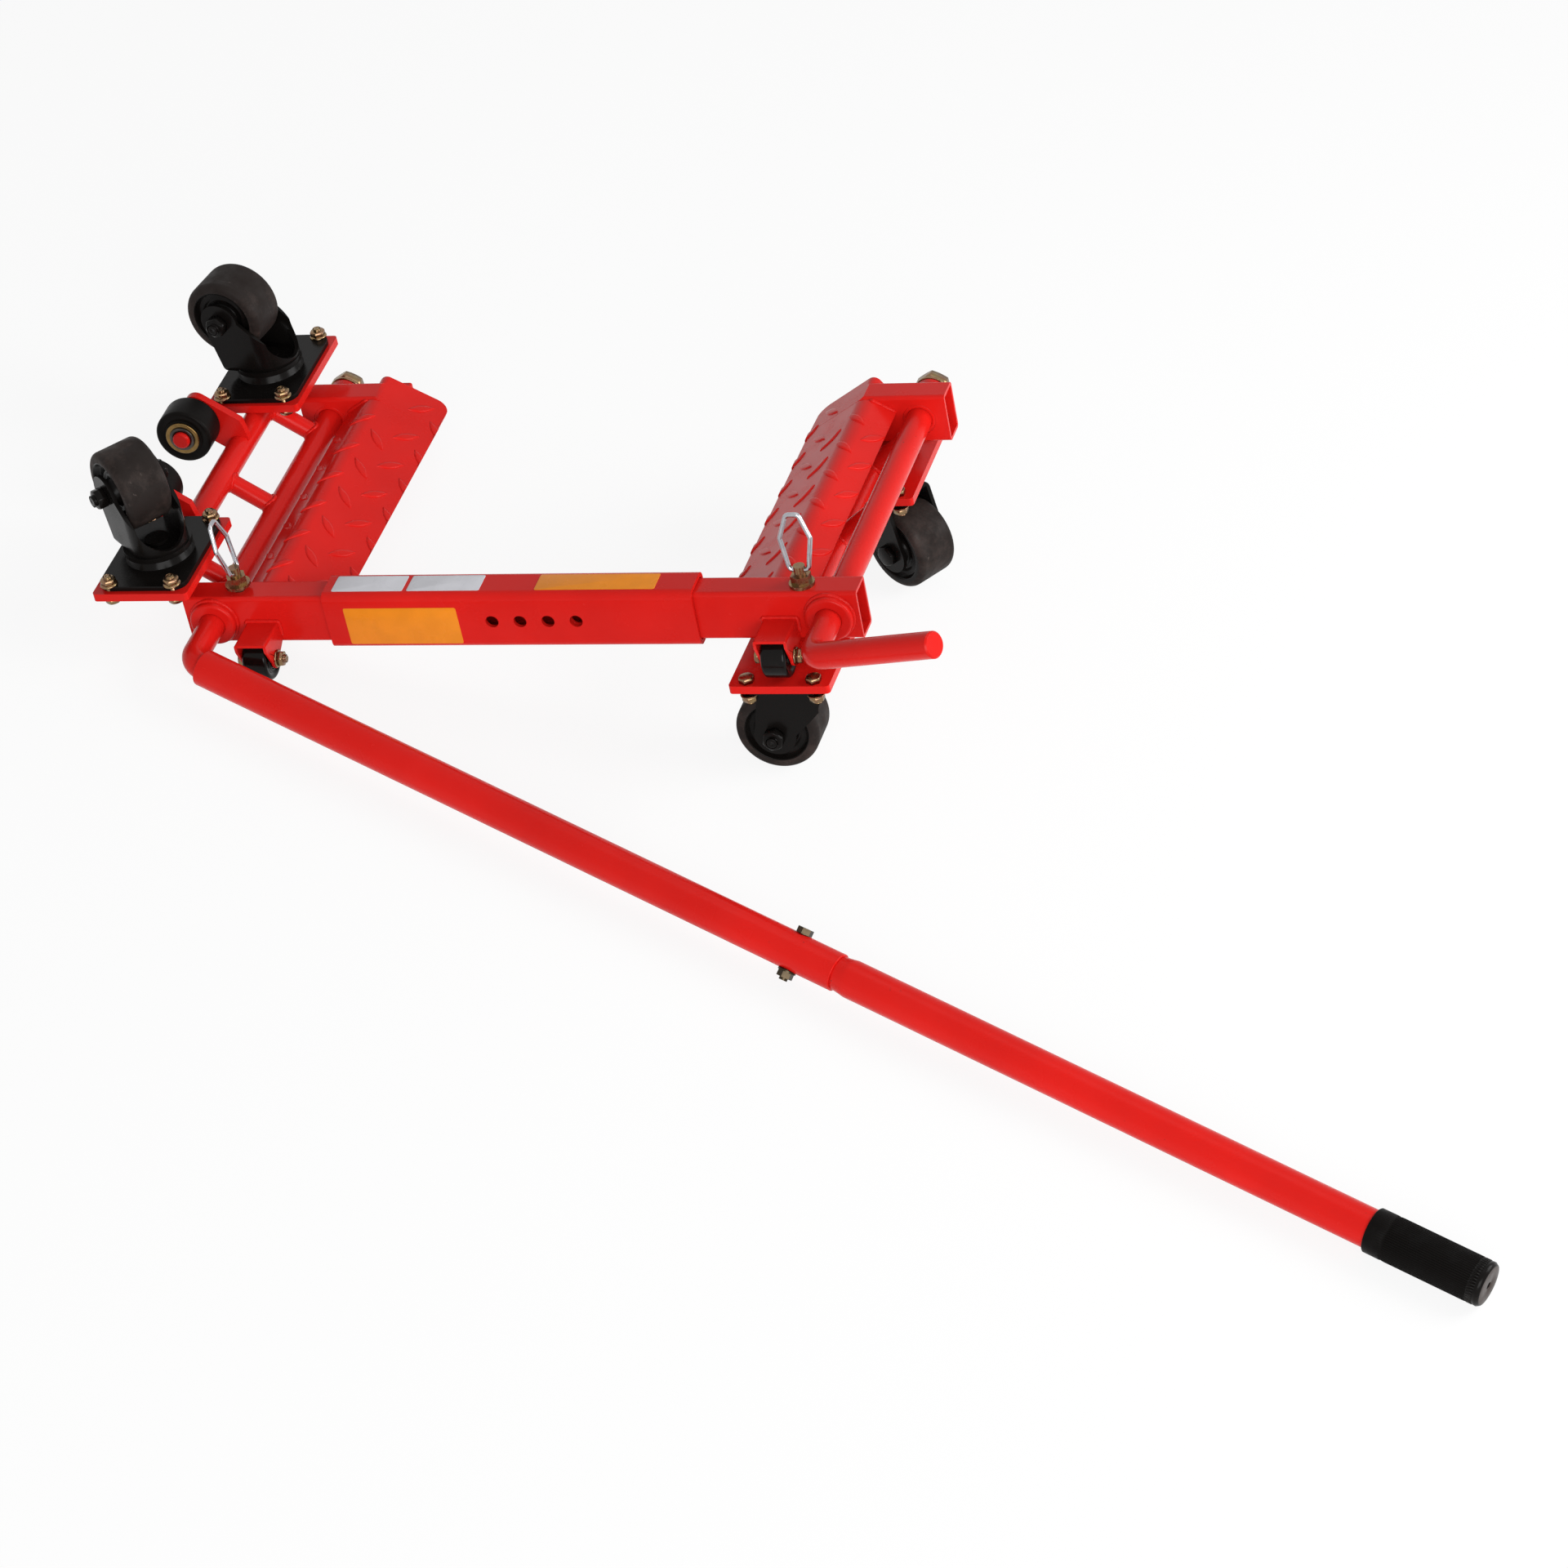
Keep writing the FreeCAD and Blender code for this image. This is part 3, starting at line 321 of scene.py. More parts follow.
def mix_finishes():
    """Make each finish once, from the colours in the sidebar."""
    colours = bpy.context.scene.dolly_finish
    red = tuple(colours.enamel_red)
    black = tuple(colours.enamel_black)
    hub = tuple(colours.hub_black)
    fine_dust = (0.009, 0.008, 0.007)
    FINISH["red"] = gloss_enamel(
        "red_enamel", red, scuff=(0.10, 0.012, 0.010), scuff_amount=0.0, gloss=0.11)
    FINISH["handled_red"] = gloss_enamel(
        "handled_enamel", red, scuff=(0.055, 0.020, 0.016), scuff_amount=0.035, gloss=0.11)
    FINISH["black"] = gloss_enamel(
        "black_enamel", black, scuff=(0.05, 0.045, 0.042), scuff_amount=0.02, gloss=0.08)
    FINISH["tread"] = worn_tread(
        "wheel_tread", tuple(colours.tread_grey), scratched=(0.15, 0.12, 0.11), gloss=0.15)
    FINISH["hub"] = moulded_black(
        "wheel_hub", hub, dust=(0.012, 0.010, 0.009), roughness=(0.18, 0.30), gloss=0.08)
    FINISH["roller"] = moulded_black(
        "roller_black", hub, dust=fine_dust, roughness=(0.32, 0.45), gloss=0.05)
    FINISH["small_wheel"] = moulded_black(
        "small_wheel_black", hub, dust=fine_dust, roughness=(0.12, 0.22), gloss=0.12)
    FINISH["rubber"] = moulded_black(
        "grip_rubber", shade(hub, 0.8), dust=(0.007, 0.0065, 0.0062), roughness=(0.36, 0.52), gloss=0.04)
    FINISH["grip_end"] = moulded_black(
        "grip_end", (0.040, 0.027, 0.022), dust=(0.060, 0.042, 0.034), roughness=(0.30, 0.45), gloss=0.2)
    FINISH["zinc"] = plated("yellow_zinc", tuple(colours.zinc), tint=(0.23, 0.125, 0.078), roughness=0.20)
    FINISH["dark_zinc"] = plated(
        "dark_zinc", (0.026, 0.020, 0.013), tint=(0.050, 0.037, 0.023), roughness=0.20)
    FINISH["brass"] = plated("roller_brass", tuple(colours.brass), tint=(0.17, 0.105, 0.038), roughness=0.30)
    FINISH["chrome"] = plated("chrome_wire", tuple(colours.chrome), tint=(0.36, 0.37, 0.40), roughness=0.06)
    FINISH["steel"] = plated("dark_clip", (0.05, 0.047, 0.045), tint=(0.09, 0.08, 0.07), roughness=0.35)
    FINISH["white_vinyl"] = vinyl("white_vinyl", tuple(colours.decal_white))
    FINISH["amber_vinyl"] = vinyl("amber_vinyl", tuple(colours.decal_amber))


# Mesh helpers

LOOSE_CORNER = 1e-5
HEX_STEPS = 48
HEX_FACE = 0.96
HEX_PLAIN = 0.999
HEX_CHAMFER = math.tan(math.radians(28))
THREAD_STEPS = 32
BEAD_SIDES = 8
BEAD_STEPS = 8
BEAD_TIP = 0.35
RIPPLE_STEPS = 5
RIPPLE_DEPTH = 0.06
WANDER_SCALE = 220
WANDER_DEPTH = 0.18


def piece(name, mesh, finishes, body):
    """New object from a bmesh, riding on a body of the dolly."""
    bmesh.ops.recalc_face_normals(mesh, faces=mesh.faces)
    data = bpy.data.meshes.new(name)
    mesh.to_mesh(data)
    mesh.free()
    for finish in finishes:
        data.materials.append(FINISH[finish])
    data.polygons.foreach_set("use_smooth", [True] * len(data.polygons))
    made = bpy.data.objects.new(name, data)
    bpy.context.scene.collection.objects.link(made)
    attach(made, body)
    return made


def soften(made, width, joined_faces=False):
    """Weld the solid's loose corners and round its hard edges."""
    weld = made.modifiers.new("weld", "WELD")
    weld.merge_threshold = LOOSE_CORNER
    if joined_faces:
        join = made.modifiers.new("joined_faces", "DECIMATE")
        join.decimate_type = "DISSOLVE"
        join.angle_limit = math.radians(0.2)
    if width > 0:
        bevel = made.modifiers.new("edge_round", "BEVEL")
        bevel.width = width
        bevel.segments = 2
        bevel.limit_method = "ANGLE"
        bevel.angle_limit = math.radians(32)
        bevel.use_clamp_overlap = True
        bevel.harden_normals = True
        flat = made.modifiers.new("flat_faces", "WEIGHTED_NORMAL")
        flat.weight = 100
    made.data.polygons.foreach_set("use_smooth", [True] * len(made.data.polygons))


def dress(node, finish, width, joined_faces=False):
    """Give a solid of the frame its finish and rounded edges."""
    solid = frame["nodes"][node]
    solid.data.materials.clear()
    solid.data.materials.append(FINISH[finish])
    soften(solid, width, joined_faces)


def turns(count):
    """Angles of equal steps round a full turn."""
    return [2 * math.pi * step / count for step in range(count)]


def polar(radius, turn, height):
    """Point round a frame's Z."""
    return Vector((radius * math.cos(turn), radius * math.sin(turn), height))


def skin(mesh, rings, finishes=None):
    """Join rings of vertices with bands of quads; finishes gives each band's finish index."""
    for band, (low, high) in enumerate(zip(rings, rings[1:])):
        for step in range(len(low)):
            after = (step + 1) % len(low)
            face = mesh.faces.new((low[step], low[after], high[after], high[step]))
            face.material_index = finishes[band] if finishes else 0


def lathe(mesh, matrix, profile, segments):
    """Add a turned form to a bmesh; profile rows are (radius, height, finish index) along the frame's Z."""
    rings = []
    for radius, height, _ in profile:
        rings.append([mesh.verts.new(matrix @ polar(radius, turn, height)) for turn in turns(segments)])
    finishes = [row[2] for row in profile[1:]] + [profile[-1][2]]
    skin(mesh, rings + rings[:1], finishes)


def plain(*rows):
    """Profile of the first finish from rows of (radius, height)."""
    return [(radius, height, 0) for radius, height in rows]


def shank(mesh, matrix, radius, low, high, segments):
    """Plain round bar between two heights of a frame."""
    lathe(mesh, matrix, plain((0.1, low), (radius, low), (radius, high), (0.1, high)), segments)


def arc(centre_radius, centre_height, size, start, end, steps, finish):
    """Profile rows of a rounded corner, angles in degrees from the outward direction."""
    rows = []
    for step in range(steps + 1):
        turn = math.radians(start + (end - start) * step / steps)
        rows.append((centre_radius + size * math.cos(turn), centre_height + size * math.sin(turn), finish))
    return rows


def mirrored(profile):
    """The same rows below the middle, in reverse."""
    return [(radius, -height, finish) for radius, height, finish in reversed(profile)]


def hexagon_radius(width, turn):
    """Distance from a hexagon's middle to its side in one direction."""
    folded = (turn + math.pi / 6) % (math.pi / 3) - math.pi / 6
    return width / 2 / math.cos(folded)


def hex_body(mesh, matrix, width, low, high, chamfers=(True, True), finish=0):
    """Hexagon with turned chamfers between two heights of a frame."""
    face_radius = width / 2 * HEX_FACE
    rows = []
    for height, sign, chamfer in ((low, 1, chamfers[0]), (high, -1, chamfers[1])):
        cap = []
        rim = []
        for turn in turns(HEX_STEPS):
            corner = hexagon_radius(width, turn)
            drop = (corner - face_radius) * HEX_CHAMFER if chamfer else 0
            radius = face_radius if chamfer else corner * HEX_PLAIN
            cap.append(matrix @ polar(radius, turn, height))
            rim.append(matrix @ polar(corner, turn, height + sign * drop))
        rows.extend([cap, rim] if sign > 0 else [rim, cap])
    rings = [[mesh.verts.new(point) for point in row] for row in rows]
    skin(mesh, rings, [finish] * len(rings))
    for ring in (rings[0], rings[-1]):
        mesh.faces.new(ring).material_index = finish


def threaded_tail(mesh, matrix, diameter, low, high, pitch=1.25, finish=0):
    """Thread crests as a helical ridge on a bolt's free end, round a chamfered core."""
    steps = THREAD_STEPS * max(1, int((high - low) / pitch))
    crest = diameter / 2
    root = crest - pitch * 0.55
    ridge = ((root, 0.0), (crest, pitch * 0.42), (crest, pitch * 0.58))
    lines = []
    for step in range(steps + THREAD_STEPS + 1):
        turn = 2 * math.pi * step / THREAD_STEPS
        base = low + pitch * (step / THREAD_STEPS - 1)
        row = []
        for radius, rise in ridge:
            height = min(max(base + rise, low), high)
            row.append(mesh.verts.new(matrix @ polar(radius, turn, height)))
        lines.append(row)
    for step, (line, after) in enumerate(zip(lines, lines[1:])):
        quads = [(line[0], after[0], after[1], line[1]), (line[1], after[1], after[2], line[2])]
        over = step + THREAD_STEPS
        if over < len(lines) - 1:
            quads.append((line[2], after[2], lines[over + 1][0], lines[over][0]))
        for quad in quads:
            mesh.faces.new(quad).material_index = finish
    core = ((0.01, low), (root * 0.99, low), (root * 0.99, high - 0.4), (root * 0.86, high), (0.01, high))
    lathe(mesh, matrix, [(radius, height, finish) for radius, height in core], THREAD_STEPS)


def bead(mesh, points, closed, seed):
    """Rippled weld bead along a line of points."""
    detail = bpy.context.scene.dolly_detail
    size = detail.weld_size
    pitch = detail.weld_pitch
    line = [Vector(point) for point in points]
    if closed:
        line.append(line[0])
    travelled = [0.0]
    for before, after in zip(line, line[1:]):
        travelled.append(travelled[-1] + (after - before).length)
    length = travelled[-1]
    count = max(BEAD_STEPS, int(length / (pitch / RIPPLE_STEPS)))
    rings = []
    segment = 0
    for step in range(count + (0 if closed else 1)):
        distance = length * step / count
        while segment < len(line) - 2 and travelled[segment + 1] < distance:
            segment += 1
        span = travelled[segment + 1] - travelled[segment]
        share = (distance - travelled[segment]) / span if span > 0 else 0
        place = line[segment].lerp(line[segment + 1], share)
        run = (line[segment + 1] - line[segment]).normalized()
        across = run.orthogonal().normalized()
        other = run.cross(across)
        wander = noise.noise(place * WANDER_SCALE + Vector((seed, 0, 0)))
        ripple = 1 + RIPPLE_DEPTH * abs(math.sin(math.pi * distance / pitch)) + WANDER_DEPTH * wander
        taper = 1.0
        if not closed:
            taper = min(1.0, BEAD_TIP + min(distance, length - distance) / (2 * size))
        ring = []
        for turn in turns(BEAD_SIDES):
            spoke = across * math.cos(turn) + other * math.sin(turn)
            ring.append(mesh.verts.new(place + spoke * size * ripple * taper))
        rings.append(ring)
    pairs = list(zip(rings, rings[1:]))
    if closed:
        pairs.append((rings[-1], rings[0]))
    for low, high in pairs:
        shift = min(range(BEAD_SIDES), key=lambda side: (low[0].co - high[side].co).length)
        skin(mesh, [low, high[shift:] + high[:shift]])
    if not closed:
        mesh.faces.new(rings[0])
        mesh.faces.new(rings[-1])


# Operators, one for each group of like pieces

class DOLLY_OT_enamel(bpy.types.Operator):
    """Finish the painted tubes, plates, brackets, ladders and lever"""
    bl_idname = "dolly.enamel"
    bl_label = "Painted Frame"

    BORE_PLACE = Vector((59.5, 0.0, 0.0))
    BORE_RADIUS = 6.25
    BORE_DEPTH = 16.0
    RED = ("slide_tube", "rear_tube", "pivot_bushes", "wheel_brackets", "caster_tube", "rungs",
           "mount_plates", "roller_arms")

    def bore_slide(self, width):
        """Copy of the right slide tube with a hole behind the sleeve's last index hole."""
        bore = bmesh.new()
        place = bar_frame() @ Matrix.Translation(self.BORE_PLACE) @ Matrix.Rotation(math.pi / 2, 4, "X")
        bmesh.ops.create_cone(bore, cap_ends=True, segments=48, radius1=self.BORE_RADIUS,
                              radius2=self.BORE_RADIUS, depth=self.BORE_DEPTH, matrix=place)
        data = bpy.data.meshes.new("index_bore")
        bore.to_mesh(data)
        bore.free()
        cutter = bpy.data.objects.new("index_bore", data)
        tube = bpy.data.objects.new("bored_tube", frame["nodes"]["right_slide_tube"].data.copy())
        for made in (cutter, tube):
            bpy.context.scene.collection.objects.link(made)
        tube.modifiers.new("weld", "WELD").merge_threshold = LOOSE_CORNER
        cut = tube.modifiers.new("bore", "BOOLEAN")
        cut.object = cutter
        solid = tube.evaluated_get(bpy.context.evaluated_depsgraph_get())
        mesh = bmesh.new()
        mesh.from_mesh(solid.data)
        for made in (cutter, tube):
            bpy.data.objects.remove(made)
        made = piece("right_bored_slide", mesh, ["red"], "right_half")
        soften(made, width, joined_faces=True)
        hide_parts("right_slide_tube")

    def execute(self, context):
        mix_finishes()
        width = context.scene.dolly_detail.edge_round
        for side in SIDES:
            for name in self.RED:
                if (side, name) != ("right", "slide_tube"):
                    dress(side + "_" + name, "red", width)
            dress(side + "_crank_bar", "handled_red", width)
        self.bore_slide(width)
        dress("bar_sleeve", "red", width, joined_faces=True)
        for node in ("lever_upper_tube", "lever_lower_tube"):
            dress(node, "handled_red", width)
        return {"FINISHED"}


class Fold:
    """Outside of a folded tread plate in a half's frame.

    Distances across it run from the face's free edge over the bend to the lip's.
    """
    APEX = Vector((50.0, 0.0, 26.5))
    FACE_SLOPE = math.radians(32)
    FACE_WIDTH = 73.0

    def __init__(self, lip_slope, lip_width, bend):
        turn = self.FACE_SLOPE + lip_slope
        tangent = bend * math.tan(turn / 2)
        self.bend = bend
        self.face = self.FACE_WIDTH - tangent
        self.arc = bend * turn
        self.whole = self.face + self.arc + lip_width - tangent

    def point(self, across, y, lift):
        """Point over the plate at a distance from the face's free edge."""
        lean = self.FACE_SLOPE - min(max(across - self.face, 0), self.arc) / self.bend
        normal = Vector((math.sin(lean), 0, math.cos(lean)))
        down = Vector((math.cos(self.FACE_SLOPE), 0, -math.sin(self.FACE_SLOPE)))
        upright = Vector((math.sin(self.FACE_SLOPE), 0, math.cos(self.FACE_SLOPE)))
        centre = self.APEX + down * (self.FACE_WIDTH - self.face) - upright * self.bend
        along = Vector((-normal.z, 0, normal.x))
        straight = min(across - self.face, 0) + max(across - self.face - self.arc, 0)
        return centre + normal * (self.bend + lift) + along * straight + Vector((0, y, 0))


# Between the tubes the lip lies flatter than where it is let into the rear tube
OPEN_FOLD = Fold(lip_slope=math.radians(32), lip_width=34.0, bend=18.0)
TUBE_FOLD = Fold(lip_slope=math.radians(55), lip_width=30.0, bend=8.0)
PLATE_ENDS = (30.0, 389.0)
REAR_TUBE_FRONT = 347.0


class DOLLY_OT_tread_plates(bpy.types.Operator):
    """Fold the tread plates and raise their checker pattern"""
    bl_idname = "dolly.tread_plates"
    bl_label = "Tread Plates"

    THICKNESS = 4.0
    CORNER = 14.0
    CORNER_STEPS = 6
    BEND_STEPS = 12
    COLUMN = 23.5
    ROW = 50.7
    # Across and along the plate, the first lozenge of each kind, and its lie
    KINDS = (((0.5, 36.0), math.radians(48)), ((24.0, 59.3), math.radians(-42)))
    LOZENGE_STEPS = 32
    # Shares of a lozenge's outline and height, from its foot up
    LOZENGE_RINGS = ((1.0, -0.3), (0.95, 0.5), (0.82, 0.88), (0.55, 1.0), (0.25, 1.0))
    END_GAP = 0.1

    def sheet(self, mesh, half, fold, front, rear, corner):
        """Folded sheet between two ends, with one rounded corner on the face."""
        stops = [0.0]
        if corner:
            angles = [math.radians(90 / self.CORNER_STEPS * step) for step in range(self.CORNER_STEPS + 1)]
            stops = [corner * (1 - math.cos(angle)) for angle in angles]
        stops += [fold.face + fold.arc * step / self.BEND_STEPS for step in range(self.BEND_STEPS + 1)]
        stops.append(fold.whole)
        rings = []
        for across in stops:
            inset = max(corner - across, 0)
            end = rear - corner + math.sqrt(corner ** 2 - inset ** 2)
            places = ((front, 0), (end, 0), (end, -self.THICKNESS), (front, -self.THICKNESS))
            rings.append([mesh.verts.new(half @ fold.point(across, y, lift)) for y, lift in places])
        skin(mesh, rings)
        mesh.faces.new(rings[0])
        mesh.faces.new(rings[-1])

    def lozenge(self, mesh, half, place, lie):
        """Pointed lens with a domed top, cut off at the plate's edges."""
        detail = bpy.context.scene.dolly_detail
        length, width, height = (size / MM for size in detail.lozenge_size)
        rings = []
        for share, lift in self.LOZENGE_RINGS:
            ring = []
            for turn in turns(self.LOZENGE_STEPS):
                forward = share * length / 2 * math.cos(turn)
                sideways = share * width / 2 * math.sin(turn) * abs(math.sin(turn))
                across = place[0] + forward * math.cos(lie) - sideways * math.sin(lie)
                y = place[1] + forward * math.sin(lie) + sideways * math.cos(lie)
                across = min(max(across, 0), OPEN_FOLD.whole)
                y = min(max(y, PLATE_ENDS[0] + self.END_GAP), PLATE_ENDS[1])
                ring.append(mesh.verts.new(half @ OPEN_FOLD.point(across, y, lift * height)))
            rings.append(ring)
        skin(mesh, rings)
        crown = mesh.verts.new(half @ OPEN_FOLD.point(max(place[0], 0), place[1], height))
        top = rings[-1]
        for before, after in zip(top, top[1:] + top[:1]):
            mesh.faces.new((before, after, crown))

    def pattern(self, mesh, half):
        """Rows of both kinds of lozenge; the bend over the rear tube has none."""
        reach = bpy.context.scene.dolly_detail.lozenge_size[0] / MM / 2
        for (first_across, first_y), lie in self.KINDS:
            across = first_across
            while across < OPEN_FOLD.whole:
                end = PLATE_ENDS[1] if across + reach < OPEN_FOLD.face else REAR_TUBE_FRONT - reach
                y = first_y
                while y < end:
                    self.lozenge(mesh, half, (across, y), lie)
                    y += self.ROW
                across += 2 * self.COLUMN

    def execute(self, context):
        for side in SIDES:
            half = half_frame(side)
            plate = bmesh.new()
            self.sheet(plate, half, OPEN_FOLD, PLATE_ENDS[0], REAR_TUBE_FRONT, 0)
            self.sheet(plate, half, TUBE_FOLD, REAR_TUBE_FRONT, PLATE_ENDS[1], self.CORNER)
            made = piece(side + "_folded_tread", plate, ["red"], side + "_half")
            soften(made, context.scene.dolly_detail.edge_round)
            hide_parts(side + "_tread_plate")
            raised = bmesh.new()
            self.pattern(raised, half)
            piece(side + "_tread_lozenges", raised, ["red"], side + "_half")
        return {"FINISHED"}


class DOLLY_OT_welds(bpy.types.Operator):
    """Lay weld beads where the painted pieces meet"""
    bl_idname = "dolly.welds"
    bl_label = "Weld Beads"

    # Height along the pivot axis and radius of the beads round the bush and the boss
    BUSH = (-0.4, 22.6)
    BOSS = (377.4, 16.4)
    RING_STEPS = 48
    # Faces that carry the small-wheel brackets, and which way they look
    BRACKET_FACES = ((0.0, -1), (377.0, 1))
    BRACKET_LINE = ((31.4, -17), (31.4, -1.1), (64.6, -1.1), (64.6, -17))
    BRACKET_GAP = 0.5
    LIP_STEPS = 12
    LIP_START = 4
    LIP_GAP = 0.6
    LIP_LIFT = 0.2
    RUNGS = (60.0, 188.5, 317.0)
    RUNG_RADIUS = 9.0
    TUBE_RADIUS = 12.5
    TUBE_DISTANCE = 62.5
    # From the crank bar to the caster tube, and across the rungs
    RADIAL = Vector((-0.8, 0, 0.6))
    ACROSS = Vector((0.6, 0, 0.8))
    SADDLE_STEPS = 40
    MOUNT_RUNS = ((36, 86), (286, 341))
    MOUNT_EDGES = (-57.0, -43.0)
    MOUNT_FACE = 49.2

    def ring(self, matrix, y, radius):
        """Circle round the pivot axis."""
        points = []
        for turn in turns(self.RING_STEPS):
            points.append(matrix @ Vector((radius * math.cos(turn), y, radius * math.sin(turn))))
        return points

    def saddle(self, matrix, y, from_tube):
        """Line where a rung meets the crank bar, or the caster tube."""
        points = []
        for turn in turns(self.SADDLE_STEPS):
            sideways = self.RUNG_RADIUS * math.sin(turn)
            reach = math.sqrt(self.TUBE_RADIUS ** 2 - sideways ** 2)
            distance = self.TUBE_DISTANCE - reach if from_tube else reach
            along = Vector((0, y + self.RUNG_RADIUS * math.cos(turn), 0))
            points.append(matrix @ (self.RADIAL * distance + self.ACROSS * sideways + along))
        return points

    def frame_welds(self, half, seed):
        mesh = bmesh.new()
        bead(mesh, self.ring(half, *self.BUSH), True, seed)
        for face, out in self.BRACKET_FACES:
            y = face + out * self.BRACKET_GAP
            bead(mesh, [half @ Vector((x, y, z)) for x, z in self.BRACKET_LINE], False, seed + 2)
        bead(mesh, self.ring(half, *self.BOSS), True, seed + 3)
        lip = OPEN_FOLD.whole - OPEN_FOLD.face
        line = []
        for step in range(self.LIP_START, self.LIP_STEPS + 1):
            across = OPEN_FOLD.face + lip * step / self.LIP_STEPS
            line.append(half @ OPEN_FOLD.point(across, REAR_TUBE_FRONT - self.LIP_GAP, self.LIP_LIFT))
        bead(mesh, line, False, seed + 7)
        return mesh

    def ladder_welds(self, ladder, seed):
        mesh = bmesh.new()
        for y in self.RUNGS:
            bead(mesh, self.saddle(ladder, y, False), True, seed + 4)
            bead(mesh, self.saddle(ladder, y, True), True, seed + 5)
        for run in self.MOUNT_RUNS:
            for x in self.MOUNT_EDGES:
                bead(mesh, [ladder @ Vector((x, y, self.MOUNT_FACE)) for y in run], False, seed + 6)
        return mesh

    def execute(self, context):
        for seed, side in enumerate(SIDES):
            fixed = self.frame_welds(half_frame(side), seed)
            piece(side + "_frame_welds", fixed, ["red"], side + "_half")
            swinging = self.ladder_welds(ladder_frame(side), seed)
            piece(side + "_ladder_welds", swinging, ["red"], side + "_ladder")
        return {"FINISHED"}


class DOLLY_OT_casters(bpy.types.Operator):
    """Build the caster wheels and finish their plates, forks and axle bolts"""
    bl_idname = "dolly.casters"
    bl_label = "Casters"

    # Radius and height of the hub's face, from the boss to the rim
    HUB_FACE = ((13.7, 17.2), (15.5, 16.2), (18.4, 16.2), (19.2, 17.4), (21.0, 17.4), (21.8, 16.2),
                (26.6, 16.2), (28.6, 17.4), (29.4, 21.6))
    WHEEL_RADIUS = 40.0
    TREAD_EDGE = 8.0
    BOLT_WIDTH = 18
    BOLT_DIAMETER = 12
    BOLT_PITCH = 1.5
    BOLT_HEAD = -35.5
    FORK_FACE = 28.5
    NUT_TOP = 38.5
    BOLT_END = 41.5

    def wheel_profile(self):
        side = [(6.2, 24.2, 1), (12.6, 24.2, 1)]
        side += arc(12.6, 23.2, 1.0, 90, 0, 4, 1)
        side += [(radius, height, 1) for radius, height in self.HUB_FACE]
        side += arc(31.0, 21.8, 1.2, 160, 90, 4, 1)
        side += arc(34.0, 17.0, 6.0, 90, 0, 10, 0)
        side += [(self.WHEEL_RADIUS, self.TREAD_EDGE, 0)]
        return side + mirrored(side)

    def axle_bolt(self, matrix):
        mesh = bmesh.new()
        hex_body(mesh, matrix, self.BOLT_WIDTH, self.BOLT_HEAD, -self.FORK_FACE, (True, False))
        hex_body(mesh, matrix, self.BOLT_WIDTH, self.FORK_FACE, self.NUT_TOP)
        threaded_tail(mesh, matrix, self.BOLT_DIAMETER, self.NUT_TOP, self.BOLT_END, self.BOLT_PITCH)
        shank(mesh, matrix, self.BOLT_DIAMETER / 2, -self.FORK_FACE, self.FORK_FACE, segments=32)
        return mesh

    def execute(self, context):
        width = context.scene.dolly_detail.edge_round
        for side in SIDES:
            for end in ENDS:
                name = side + "_" + end + "_caster_"
                dress(name + "plate", "black", width)
                dress(name + "fork", "black", width)
                matrix = spin_frame(name + "roll")
                wheel = bmesh.new()
                lathe(wheel, matrix, self.wheel_profile(), segments=96)
                made = piece(name + "tyre", wheel, ["tread", "hub"], name + "wheel")
                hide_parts(name + "wheel")
                made = piece(name + "bolt", self.axle_bolt(matrix), ["hub"], name + "fork")
                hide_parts(name + "axle")
        return {"FINISHED"}


class DOLLY_OT_small_wheels(bpy.types.Operator):
    """Build the small wheels and their bolts"""
    bl_idname = "dolly.small_wheels"
    bl_label = "Small Wheels"

    HUB = ((4.2, 12.0), (8.4, 12.0), (9.0, 11.6), (9.2, 10.6), (13.2, 10.6), (13.7, 11.6))
    WASHER = ((4.0, 16), (8.2, 16), (8.5, 16.4), (8.2, 17.6), (4.0, 17.6))
    SCREW_WIDTH = 13
    SCREW_DIAMETER = 8
    SCREW_HEAD = -21.5
    BRACKET_FACE = 16.0
    WASHER_TOP = 17.6
    NUT_TOP = 23.0
    SCREW_END = 25.5

    def wheel_profile(self):
        side = plain(*self.HUB)
        side += arc(17.0, 9.0, 3.0, 90, 0, 8, 0)
        side += [(20.0, 4.0, 0)]
        return side + mirrored(side)

    def screw(self, mesh, matrix):
        hex_body(mesh, matrix, self.SCREW_WIDTH, self.SCREW_HEAD, -self.BRACKET_FACE, (True, False))
        shank(mesh, matrix, self.SCREW_DIAMETER / 2, -self.BRACKET_FACE, self.BRACKET_FACE, segments=24)
        lathe(mesh, matrix, plain(*self.WASHER), segments=32)
        hex_body(mesh, matrix, self.SCREW_WIDTH, self.WASHER_TOP, self.NUT_TOP)
        threaded_tail(mesh, matrix, self.SCREW_DIAMETER, self.NUT_TOP, self.SCREW_END)

    def execute(self, context):
        for side in SIDES:
            screws = bmesh.new()
            for end in ENDS:
                name = side + "_" + end + "_small_wheel"
                matrix = spin_frame(name + "_spin")
                wheel = bmesh.new()
                lathe(wheel, matrix, self.wheel_profile(), segments=64)
                made = piece(name + "_roll", wheel, ["small_wheel"], name)
                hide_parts(name)
                self.screw(screws, matrix)
            made = piece(side + "_small_wheel_screws", screws, ["zinc"], side + "_half")
            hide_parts(side + "_small_wheel_bolts")
        return {"FINISHED"}


